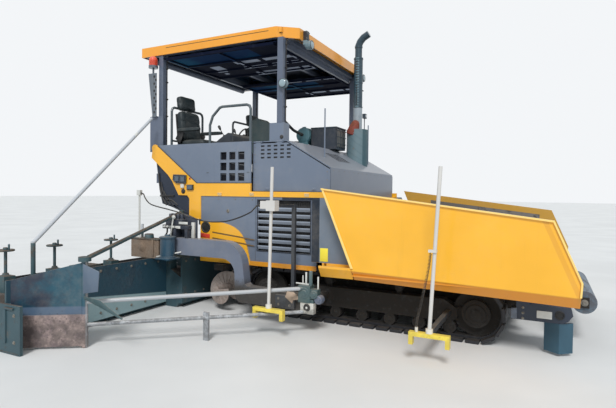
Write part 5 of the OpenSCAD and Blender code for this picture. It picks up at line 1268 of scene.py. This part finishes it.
# %% Rear corner
corner = plate("band_corner_right", [(-2.498, -1.3655, 2.202), (-2.512, -1.3655, 2.090), (-2.195, -1.3655, 1.835), (-2.119, -1.3655, 1.748), (-1.997, -1.3655, 1.548),
                                     (-1.795, -1.3655, 1.545), (-1.775, -1.3655, 1.520), (-1.840, -1.3655, 1.625), (-2.100, -1.3655, 1.832), (-2.440, -1.3655, 2.160)], (0, 0.028, 0), 0.0008, 1)
finish_pair(corner, yellow)
dark_corner = plate("corner_shadow_plate_right", [(-2.450, -1.3375, 2.060), (-2.384, -1.3375, 1.617), (-2.325, -1.3375, 1.420), (-2.130, -1.3375, 1.370), (-1.810, -1.3375, 1.260),
                                                  (-1.810, -1.3375, 1.560), (-2.000, -1.3375, 1.820), (-2.300, -1.3375, 2.060)], (0, 0.008, 0), 0.002)
edit(dark_corner)
pick(dark_corner, "faces", lambda m, n: n.y < -0.9)
bpy.ops.mesh.inset(thickness=0.030)
bpy.ops.mesh.extrude_region_move(TRANSFORM_OT_translate={"value": (0, 0.004, 0)})
done(dark_corner)
finish_pair(dark_corner, corner_navy)
hose_runs = [[(-2.385 + 0.05 * i, -1.352, 1.86 - 0.13 * i), (-2.355 + 0.055 * i, -1.356, 1.66 - 0.06 * i), (-2.300 + 0.06 * i, -1.352, 1.50 - 0.01 * i), (-2.235 + 0.07 * i, -1.345, 1.40)]
             for i in range(4)]
hose_tubes = [pipe("hose", run, 0.013, 12, 0.06) for run in hose_runs]
hose_clamp = block("clamp", (-2.345, -1.372, 1.520), (-2.085, -1.3375, 1.548), 0.005)
finish_pair(join("corner_hoses_right", hose_tubes + [hose_clamp]), hose_rubber, smooth=60)

# %% Gasket, hinges, lock and blank plates
gasket = pipe("panel_gasket_right", [(-0.779, -1.366, 1.7205), (-1.670, -1.366, 1.7205), (-2.398, -1.366, 2.2635)], 0.0045, 8, 0.01)
finish_pair(gasket, hose_rubber, smooth=60)
hinges = []
for x, z in ((-1.271, 1.571), (-0.754, 1.576), (0.053, 1.573)):
    hinges.append(block("leaf", (x - 0.032, -1.372, z - 0.022), (x + 0.032, -1.364, z + 0.006), 0.003))
    hinges.append(bar("knuckle", (x - 0.032, -1.371, z + 0.008), (x + 0.032, -1.371, z + 0.008), 0.009, 14, 0.002))
finish_pair(join("cover_hinges_right", hinges), hinge_cream)
lock = turned("cover_lock_right", [(0, 0.006), (0.008, 0.006), (0.010, 0.004), (0.012, 0.007), (0.020, 0.007), (0.024, 0.003), (0.025, 0)], (-1.140, -1.355, 1.343), (0, -1, 0), 28)
finish_pair(lock, bolt_zinc)
vent = turned("accent_vent_right", [(0, 0.004), (0.056, 0.004), (0.062, 0.011), (0.072, 0.011), (0.078, 0.004), (0.080, 0)], (-1.503, -1.369, 1.112), (0, -1, 0), 36)
blades = [block("blade", (-1.503 - half, -1.3765, 1.076 + 0.018 * i), (-1.503 + half, -1.371, 1.081 + 0.018 * i), 0.0015) for i, half in enumerate((0.042, 0.052, 0.052, 0.042))]
finish_pair(join("accent_vent_right", [vent] + blades), black_plastic)
red_plate = plate("blank_red_plate_right", [(-1.593, -1.369, 0.973), (-1.430, -1.369, 0.958), (-1.430, -1.369, 1.018), (-1.593, -1.369, 1.030)], (0, -0.003, 0), 0.001)
finish_pair(red_plate, plate_red)
# painted shade: dark brown strips along the accent cover's grooves stand for the shade in them
deep_grooves = [plate("groove", [(x0, -1.3700, z0 + 0.007), (x1, -1.3700, z1 + 0.007), (x1, -1.3700, z1 - 0.007), (x0, -1.3700, z0 - 0.007)], (0, 0.0015, 0), 0.0004, 1)
                for x0, z0, x1, z1 in ((-1.388, 1.045, -0.705, 0.976), (-1.388, 0.965, -0.705, 0.896), (-0.991, 0.811, -0.881, 0.794), (-0.933, 0.719, -0.888, 0.710))]
finish_pair(join("accent_grooves_right", deep_grooves), groove_shade_brown)

# %% Louvre frame and radiator core
frame_parts = [block("rail", (-0.676, -1.362, 1.496), (0.112, -1.352, 1.508), 0.002), block("rail", (-0.676, -1.362, 0.832), (0.112, -1.352, 0.844), 0.002),
               block("rail", (-0.676, -1.362, 0.842), (-0.664, -1.352, 1.498), 0.002), block("rail", (0.100, -1.362, 0.842), (0.112, -1.352, 1.498), 0.002)]
finish_pair(join("louvre_frame_right", frame_parts), corner_navy)
core = block("core", (-0.72, -1.300, 0.80), (0.16, -1.270, 1.53), 0.004)
fins = [block("fin", (-0.70 + 0.03 * i, -1.306, 0.81), (-0.694 + 0.03 * i, -1.299, 1.52), 0.001) for i in range(29)]
finish_pair(join("radiator_core_right", [core] + fins), black_plastic)
top_strip = plate("louvre_shade_right", [(-0.30, -1.3555, 1.510), (0.188, -1.3555, 1.510), (0.188, -1.3555, 1.5405), (-0.30, -1.3555, 1.5405)], (0, -0.003, 0), 0.001)
finish_pair(top_strip, corner_navy)
yellow_plate = plate("blank_yellow_plate_right", [(0.316, -1.520, 0.792), (0.418, -1.520, 0.792), (0.418, -1.520, 0.949), (0.316, -1.520, 0.949)], (0, -0.003, 0), 0.001)
finish_pair(yellow_plate, plate_yellow)
finish_pair(bolts("cover_bolts_right", row((-1.57, -1.355, 1.500), (-0.75, -1.355, 1.500), 4), (0, -1, 0), 0.007), bolt_zinc)
seam_lines = [plate("seam", [(-0.700, -1.3555, 0.70), (-0.696, -1.3555, 0.70), (-0.696, -1.3555, 1.54), (-0.700, -1.3555, 1.54)], (0, 0.0012, 0), 0.0002, 1)]
finish_pair(join("cover_seam_right", seam_lines), black_plastic)

# %% Dark plate as painted shade behind the upper panel's windows, and window rims
# painted shade: a near-black plate behind the window openings stands for the shade inside
lining = plate("window_lining_right", [(-1.62, -1.3345, 1.74), (-0.80, -1.3345, 1.74), (-0.80, -1.3345, 2.262), (-1.62, -1.3345, 2.262)], (0, 0.006, 0), 0.002)
finish_pair(lining, window_shade_dark)
rims = []
for i in range(3):
    for k in range(3):
        x0, z0 = -1.271 + 0.145 * i, 1.750 + 0.142 * k
        rim_piece = block("rim", (x0 - 0.006, -1.3575, z0 - 0.006), (x0 + 0.106, -1.3535, z0 + 0.109), 0.0)
        edit(rim_piece)
        pick(rim_piece, "faces", lambda m, n: abs(n.y) > 0.9)
        bpy.ops.mesh.inset(thickness=0.006)
        bpy.ops.mesh.delete(type="FACE")
        bpy.ops.mesh.select_all(action="DESELECT")
        pick(rim_piece, "edges", lambda m, d: x0 - 0.001 < m.x < x0 + 0.101 and z0 - 0.001 < m.z < z0 + 0.104)
        bpy.ops.mesh.bridge_edge_loops()
        bpy.ops.mesh.select_all(action="SELECT")
        bpy.ops.mesh.normals_make_consistent(inside=False)
        rims.append(done(rim_piece))
inner_things = [bar("thing", (-1.29, -1.325, 1.86 + 0.15 * i), (-0.84, -1.325, 1.80 + 0.15 * i), 0.012, 10, 0.002) for i in range(3)]
finish_pair(join("window_rims_right", rims), blue_grey)
finish_pair(join("pipes_behind_windows_right", inner_things), dark_grey)
print("body sides done:", len(pieces))

# %% [markdown]
# ## Hopper, tracks and front
# The wings are worn inside, so bolted wear plates line their floors and walls. Two chains of
# links per side carry the conveyor's slats. The tracks get hub caps with bolt circles, and
# the drive's housing a blank plate and a bracket.

# %% Wear plates, their bolts and conveyor chains
floor_wear = plate("wing_floor_wear_right", [(0.46, -0.80, 0.6995), (2.40, -0.80, 0.6995), (2.40, -1.40, 0.6995), (2.30, -1.68, 0.6995), (0.88, -1.68, 0.6995), (0.82, -1.42, 0.6995), (0.46, -1.42, 0.6995)],
                   (0, 0, 0.0065), 0.002)
wall_wear = plate("wing_wall_wear_right", [(0.90, -1.7245, 0.72), (2.40, -1.7245, 0.72), (2.60, -1.7245, 0.95), (2.60, -1.7245, 1.30), (0.90, -1.7245, 1.50)], (0, 0.0065, 0), 0.002)
finish_pair(join("wing_wear_plates_right", [floor_wear, wall_wear]), hopper_floor, "hopper_wing_right")
wear_bolts = join("wear_bolts_right", [bolts("b", row((0.56, -0.88, 0.706), (2.30, -0.88, 0.706), 7) + row((0.95, -1.62, 0.706), (2.22, -1.62, 0.706), 5), (0, 0, 1), 0.011),
                                       bolts("b", row((1.00, -1.718, 0.84), (2.36, -1.718, 0.84), 5) + row((1.00, -1.718, 1.42), (2.52, -1.718, 1.24), 5), (0, 1, 0), 0.011)])
finish_pair(wear_bolts, bolt_zinc, "hopper_wing_right")
link = join("link", [block("side", (0, -0.014, 0), (0.062, -0.008, 0.022), 0.003), block("side", (0, 0.008, 0), (0.062, 0.014, 0.022), 0.003), bar("pin", (0.031, -0.018, 0.011), (0.031, 0.018, 0.011), 0.008, 10)])
links = [copy_of(link, (x, y, 0.494)) for y in (0.11, 0.56) for x in [-0.90 + 0.072 * i for i in range(46)]]
bpy.data.objects.remove(link, do_unlink=True)
finish_pair(join("conveyor_chains_right", links), track_dirt)

# %% Hub caps, rollers and the front's fittings
caps = []
for x, face in ((-0.590, 1.225), (2.040, 1.225)):
    caps.append(turned("cap", [(0.076, 0.020), (0.080, 0.022), (0.100, 0.020), (0.110, 0.006), (0.138, 0.004), (0.146, 0)], (x, -face, 0.31), (0, -1, 0), 36))
    caps.append(turned("cover", [(0, 0.012), (0.030, 0.011), (0.055, 0.006), (0.060, 0)], (x, -face - 0.020, 0.31), (0, -1, 0), 32))
    caps.append(bolts("b", [(x + 0.124 * math.cos(a), -face - 0.003, 0.31 + 0.124 * math.sin(a)) for a in [math.pi * k / 5 for k in range(10)]], (0, -1, 0), 0.009))
for i in range(7):
    caps.append(turned("roller_cap", [(0, 0.014), (0.018, 0.013), (0.024, 0.008), (0.040, 0.006), (0.045, 0)], (-0.31 + 0.345 * i, -1.189, 0.130), (0, -1, 0), 24))
finish_pair(join("track_hub_caps_right", caps), chassis_black, smooth=40)
roller_nut = turned("nut", [(0, 0.018), (0.017, 0.018), (0.022, 0.013), (0.022, 0.004), (0.034, 0.003), (0.036, 0)], (3.08, -0.80, 0.465), (0, -1, 0), 24)
finish_pair(roller_nut, bolt_zinc, "push_beam")
beam_bolts = bolts("push_beam_bolts_right", [(2.952, -y, z) for y in (0.20, 0.38, 0.56) for z in (0.42, 0.51)], (1, 0, 0), 0.013)
finish_piece(beam_bolts, bolt_zinc, "push_beam")
blank = plate("blank_white_plate_right", [(2.632, -1.2995, 0.365), (2.770, -1.2995, 0.365), (2.770, -1.2995, 0.440), (2.632, -1.2995, 0.440)], (0, -0.004, 0), 0.0012)
finish_pair(blank, white_paint)
port = turned("housing_port_right", [(0, 0.001), (0.030, 0.002), (0.034, 0.010), (0.042, 0.010), (0.046, 0)], (2.838, -1.2995, 0.414), (0, -1, 0), 32)
finish_pair(port, black_plastic)
bracket = plate("housing_bracket_right", [(2.392, -1.2995, 0.335), (2.450, -1.2995, 0.335), (2.450, -1.2995, 0.450), (2.392, -1.2995, 0.440)], (0, -0.012, 0), 0.003)
finish_pair(bracket, blue_grey)
finish_pair(bolts("housing_bolts_right", row((2.505, -1.2995, 0.345), (2.505, -1.2995, 0.455), 3), (0, -1, 0), 0.010), bolt_zinc)
print("hopper, tracks and front done:", len(pieces))

# %% Gear boxes and pins at the tow point
gears = [turned("motor", [(0, 0.020), (0.020, 0.020), (0.026, 0.012), (0.040, 0.014), (0.046, 0.008), (0.048, 0)], (0.395, -1.8435, 0.462), (0, -1, 0), 32),
         turned("face", [(0, 0.010), (0.030, 0.010), (0.036, 0.004), (0.058, 0.004), (0.062, 0)], (0.278, -1.8535, 0.470), (0, -1, 0), 32)]
finish_pair(join("gear_box_faces_right", gears), brace_green, "screed")
motor = turned("feed_motor_right", [(0, 0.086), (0.020, 0.086), (0.026, 0.078), (0.036, 0.082), (0.046, 0.076), (0.050, 0.066), (0.050, 0)], (0.446, -1.765, 0.404), (0, -1, 0), 32)
finish_pair(motor, post_grey, "screed")
stub = turned("stub", [(0, 0.165), (0.018, 0.163), (0.022, 0.155), (0.022, 0.0)], (0.335, -1.800, 0.5545), (0, 0, 1), 24)
finish_pair(stub, brace_green, "screed")
lug = turned("tow_lug_right", [(0, 0.006), (0.014, 0.006), (0.018, 0.014), (0.036, 0.014), (0.042, 0.004), (0.044, 0)], (0.310, -1.8435, 0.308), (0, -1, 0), 32)
finish_pair(lug, black_plastic, "screed")
handle = [pipe("handle", [(0.237, -1.80, 0.553), (0.237, -1.80, 0.660)], 0.007, 12), pipe("handle", [(0.150, -1.80, 0.566), (0.318, -1.80, 0.562)], 0.009, 12),
          bar("pin", (0.278, -1.80, 0.553), (0.278, -1.80, 0.700), 0.011, 14, 0.003), bar("rod", (0.428, -1.80, 0.518), (0.428, -1.80, 0.660), 0.009, 12, 0.002),
          turned("disc", [(0, 0.004), (0.012, 0.004), (0.014, 0)], (0.310, -1.8495, 0.308), (0, -1, 0), 20)]
finish_pair(join("tow_handles_right", handle), white_paint, "screed")
tilted = plate("tow_sheet_right", [(0.004, -1.7935, 0.387), (0.030, -1.7935, 0.455), (0.115, -1.7935, 0.455), (0.193, -1.7935, 0.400), (0.193, -1.7935, 0.380), (0.109, -1.7935, 0.36), (0.097, -1.7935, 0.32)], (0, -0.007, 0), 0.002)
finish_pair(tilted, sheet_beige, "screed")
finish_pair(bolts("tow_bolts_right", [(-0.09, -1.7935, 0.29), (-0.09, -1.7935, 0.36), (0.06, -1.7935, 0.29)], (0, -1, 0), 0.012), bolt_zinc, "screed")
print("tow point done:", len(pieces))

# %% [markdown]
# ## Screed and its fittings
# The tow arm ends in a clutter of valves, clamps and pipes. The depth screws have rims with
# grips, and the walkway is a grating between angle bars. Every plate of the screed shows
# the heads of the bolts that hold it.

# %% Clutter at the end of the tow arm
canister = turned("arm_canister", [(0, 0.300), (0.030, 0.300), (0.034, 0.284), (0.090, 0.280), (0.108, 0.272), (0.108, 0.256), (0.094, 0.250), (0.094, 0.018), (0.104, 0.014), (0.104, 0)],
                  (-1.738, -1.856, 0.7315), (0, 0, 1), 40)
foot = block("foot", (-1.855, -1.965, 0.708), (-1.625, -1.742, 0.7325), 0.004)
finish_pair(join("arm_canister_right", [canister, foot]), canister_teal, "screed", 50)
back_sheet = plate("valve_back_sheet_right", [(-1.900, -1.606, 0.983), (-1.445, -1.606, 0.983), (-1.445, -1.606, 1.235), (-1.640, -1.606, 1.300), (-1.900, -1.606, 1.300)], (0, -0.008, 0), 0.002)
finish_pair(back_sheet, corner_navy, "screed")
bank = [block("manifold", (-1.945, -1.735, 1.098), (-1.500, -1.60, 1.150), 0.006), block("manifold", (-1.90, -1.725, 1.150), (-1.62, -1.61, 1.225), 0.008),
        block("leg", (-1.760, -1.735, 0.982), (-1.715, -1.61, 1.100), 0.004), block("leg", (-1.560, -1.735, 0.982), (-1.515, -1.61, 1.100), 0.004)]
bank += [turned("valve", [(0, 0.075), (0.016, 0.074), (0.022, 0.068), (0.024, 0.010), (0.030, 0.006), (0.030, 0)], (-1.86 + 0.066 * i, -1.667, 1.2245), (0, 0, 1), 20) for i in range(4)]
finish_pair(join("valve_bank_right", bank), corner_navy, "screed", 50)
white_bits = [block("cover", (-1.655, -1.742, 1.166), (-1.505, -1.734, 1.198), 0.002), block("cover", (-1.70, -1.742, 1.105), (-1.63, -1.734, 1.140), 0.002),
              block("post", (-1.512, -1.66, 0.983), (-1.470, -1.62, 1.190), 0.004), bar("rod", (-1.742, -1.745, 1.260), (-1.792, -1.745, 1.000), 0.010, 12, 0.003),
              turned("eye", [(0, 0.024), (0.020, 0.024), (0.026, 0.016), (0.026, 0.0)], (-1.742, -1.733, 1.255), (0, -1, 0), 20),
              bar("slant", (-1.845, -1.945, 0.742), (-1.600, -1.750, 0.800), 0.010, 12, 0.003)]
white_bits += [turned("nipple", [(0, 0.030), (0.009, 0.030), (0.011, 0.020), (0.016, 0.018), (0.016, 0)], (-1.90 + 0.052 * i, -1.7345, 1.125), (0, -1, 0), 12) for i in range(5)]
finish_pair(join("valve_fittings_right", white_bits), white_paint, "screed", 50)
tubes = [pipe("tube", [(-1.89 + 0.05 * i, -1.70 + 0.02 * i, 1.105), (-1.89 + 0.05 * i, -1.70 + 0.02 * i, 1.04 - 0.02 * i), (-1.98 - 0.03 * i, -1.66 + 0.02 * i, 0.98 - 0.02 * i), (-2.02 - 0.03 * i, -1.60 + 0.02 * i, 0.72)], 0.011, 12, 0.05)
         for i in range(3)]
finish_pair(join("bank_tubes_right", tubes + [block("clip", (-2.09, -1.675, 0.84), (-1.97, -1.57, 0.862), 0.004)]), hose_rubber, "screed", 60)
housing = [block("lid", (-2.41, -1.862, 0.945), (-1.895, -1.735, 0.965), 0.006), block("rib", (-2.02, -1.864, 0.725), (-1.985, -1.848, 0.948), 0.004),
           turned("dial", [(0, 0.014), (0.040, 0.014), (0.048, 0.008), (0.066, 0.006), (0.070, 0)], (-2.20, -1.848, 0.845), (0, -1, 0), 32),
           turned("drum", [(0, 0.060), (0.050, 0.058), (0.060, 0.048), (0.064, 0)], (-2.12, -1.80, 0.9645), (0, 0, 1), 28)]
finish_pair(join("depth_housing_details_right", housing), screed_fittings_teal, "screed", 50)
print("arm ends done:", len(pieces))

# %% Depth screws, walkway and the screed's top
rims = []
for x, y in ((-2.15, 0.50), (-2.39, 2.20), (-2.39, 3.00), (-2.39, 3.56)):
    start_clean()
    bpy.ops.mesh.primitive_torus_add(location=(x, -y, 0.957), major_radius=0.078, minor_radius=0.010, major_segments=36, minor_segments=10)
    bpy.ops.object.transform_apply(location=True, rotation=True, scale=True)
    rims.append(bpy.context.object)
    rims.append(bar("grip", (x + 0.06, -y, 0.963), (x + 0.06, -y, 1.030), 0.010, 12, 0.003))
    rims.append(turned("nut", [(0, 0.026), (0.018, 0.026), (0.024, 0.020), (0.024, 0)], (x, -y, 0.963), (0, 0, 1), 6))
    rims.append(turned("collar", [(0.016, 0.030), (0.028, 0.028), (0.034, 0.010), (0.046, 0.006), (0.048, 0)], (x, -y, 0.689), (0, 0, 1), 24))
finish_pair(join("hand_wheels_right", rims), screed_fittings_teal, "screed", 50)
grating = [block("slat", (-3.185 + 0.060 * i, -3.58, 0.4645), (-3.160 + 0.060 * i, 0.0, 0.4705), 0.0015, 1) for i in range(8)]
grating += [block("cross", (-3.185, -0.25 - 0.30 * i, 0.4685), (-2.715, -0.235 - 0.30 * i, 0.4735), 0.0012, 1) for i in range(12)]
finish_pair(join("walkway_grating_right", grating), dark_grey, "screed", 0)
gas = [pipe("gas_pipe", [(-2.30, -0.60, 0.5205), (-2.30, -0.60, 0.556), (-2.42, -1.58, 0.556), (-2.52, -1.70, 0.556), (-2.52, -3.70, 0.536)], 0.014, 14, 0.06),
       pipe("pale_pipe", [(-2.10, -2.30, 0.545), (-2.12, -3.72, 0.545)], 0.018, 14)]
gas += [block("saddle", (x - 0.022, -y - 0.02, 0.515), (x + 0.022, -y + 0.02, top), 0.004) for x, y, top in ((-2.52, 2.1, 0.568), (-2.52, 2.7, 0.562), (-2.52, 3.3, 0.556), (-2.108, 2.5, 0.556), (-2.114, 3.3, 0.556))]
finish_pair(join("screed_top_pipes_right", gas), tube_steel, "screed", 50)
lids = [block("lid", (-2.49, -2.74, 0.668), (-2.29, -2.46, 0.684), 0.006), block("lid", (-2.26, -0.252, 0.728), (-2.134, -0.008, 0.742), 0.005),
        plate("hatch", [(-2.10, -0.75, 0.5195), (-2.10, -1.25, 0.5195), (-1.98, -1.25, 0.5195), (-1.98, -0.75, 0.5195)], (0, 0, 0.008), 0.003),
        block("fin", (-2.13, -3.10, 0.519), (-2.09, -2.90, 0.60), 0.008)]
lids += [block("rib", (-2.49 + 0.028 * i, -2.753, 0.54), (-2.478 + 0.028 * i, -2.748, 0.655), 0.0015) for i in range(8)]
finish_pair(join("screed_lids_right", lids), screed_fittings_teal, "screed", 40)

# %% Bolts, skids and plates at the ends
ends = [block("skid", (-2.70, -3.806, 0.0), (-1.79, -3.77, 0.018), 0.005), block("rib", (-2.02, -3.812, 0.10), (-1.98, -3.798, 0.44), 0.004), block("rib", (-2.50, -3.812, 0.10), (-2.46, -3.798, 0.44), 0.004),
        bar("hinge", (-2.00, -3.808, 0.445), (-1.86, -3.808, 0.445), 0.012, 14, 0.003)]
finish_pair(join("end_gate_details_right", ends), screed_teal, "screed", 40)
finish_pair(bolts("end_gate_bolts_right", [(x, -3.7985, z) for x in (-2.62, -2.30, -1.86) for z in (0.12, 0.38)], (0, -1, 0), 0.014), bolt_zinc, "screed")
finish_pair(bolts("screed_front_bolts_right", row((-1.7495, -0.15, 0.64), (-1.7495, -1.48, 0.64), 8) + row((-1.7495, -0.15, 0.18), (-1.7495, -1.48, 0.18), 8)
                  + row((-2.0295, -1.72, 0.64), (-2.0295, -3.60, 0.64), 9) + row((-2.0295, -1.72, 0.14), (-2.0295, -3.60, 0.14), 9), (1, 0, 0), 0.013), bolt_zinc, "screed")
finish_pair(bolts("screed_rear_bolts_right", row((-2.3705, -0.15, 0.16), (-2.3705, -1.48, 0.16), 8) + row((-2.6505, -1.72, 0.16), (-2.6505, -3.60, 0.16), 9), (-1, 0, 0), 0.013), bolt_zinc, "screed")
grey_plate = plate("post_plate_right", [(-1.445, -3.352, 0.56), (-1.445, -3.352, 0.86), (-1.215, -3.352, 0.80), (-1.235, -3.352, 0.60)], (0, -0.010, 0), 0.003)
finish_pair(grey_plate, violet_grey, "screed")
strut = plate("post_strut_right", [(-1.450, -3.340, 0.530), (-1.450, -3.340, 0.505), (-1.150, -3.340, 0.425), (-0.920, -3.340, 0.360), (-0.905, -3.340, 0.372), (-1.100, -3.340, 0.455), (-1.220, -3.340, 0.515)],
              (0, -0.008, 0), 0.002)
finish_pair(strut, brace_green, "screed")
print("screed done:", len(pieces))

# %% [markdown]
# ## Floor and light
# A pale floor and a soft studio: one broad sun from the camera's upper left, and an even
# white world. The levels are set so that a colour renders about as it is written.

# %% Floor, sun and world
floor_finish = Finish("pale_floor", 0.9)
patch = floor_finish.noise(0.6, 3)
floor_finish.put(Base_Color=floor_finish.mix(patch.step(0.3, 0.7), colour(214, 214, 212), colour(222, 222, 220)))
floor_finish.bump(floor_finish.noise(40, 4), 0.002, 0.2)
start_clean()
bpy.ops.mesh.primitive_plane_add(size=240, location=(0, 0, 0))
floor = bpy.context.object
floor.name = "studio_floor"
floor.data.materials.append(floor_finish.material)

sun_data = bpy.data.lights.new("soft_sun", "SUN")
sun_data.energy = 2.3
sun_data.angle = math.radians(16)
sun = bpy.data.objects.new("soft_sun", sun_data)
sun.rotation_euler = Vector((-0.22, 0.62, -0.66)).to_track_quat("-Z", "Y").to_euler()
bpy.context.scene.collection.objects.link(sun)

world = bpy.data.worlds.new("studio_air")
world.use_nodes = True
bpy.context.scene.world = world
air = world.node_tree
backdrop = air.nodes["Background"]
backdrop.inputs["Color"].default_value = (0.86, 0.93, 1.0, 1)
backdrop.inputs["Strength"].default_value = 0.62
seen = air.nodes.new("ShaderNodeBackground")
seen.inputs["Color"].default_value = (0.90, 0.92, 0.94, 1)
seen.inputs["Strength"].default_value = 1.0
ray = air.nodes.new("ShaderNodeLightPath")
either = air.nodes.new("ShaderNodeMath")
either.operation = "MAXIMUM"
air.links.new(ray.outputs["Is Camera Ray"], either.inputs[0])
air.links.new(ray.outputs["Is Glossy Ray"], either.inputs[1])
blend = air.nodes.new("ShaderNodeMixShader")
air.links.new(either.outputs[0], blend.inputs[0])
air.links.new(backdrop.outputs[0], blend.inputs[1])
air.links.new(seen.outputs[0], blend.inputs[2])
air.links.new(blend.outputs[0], air.nodes["World Output"].inputs["Surface"])
bpy.context.scene.view_settings.view_transform = "Standard"

# %% The end: the number of added pieces
print("pieces added:", len(pieces))
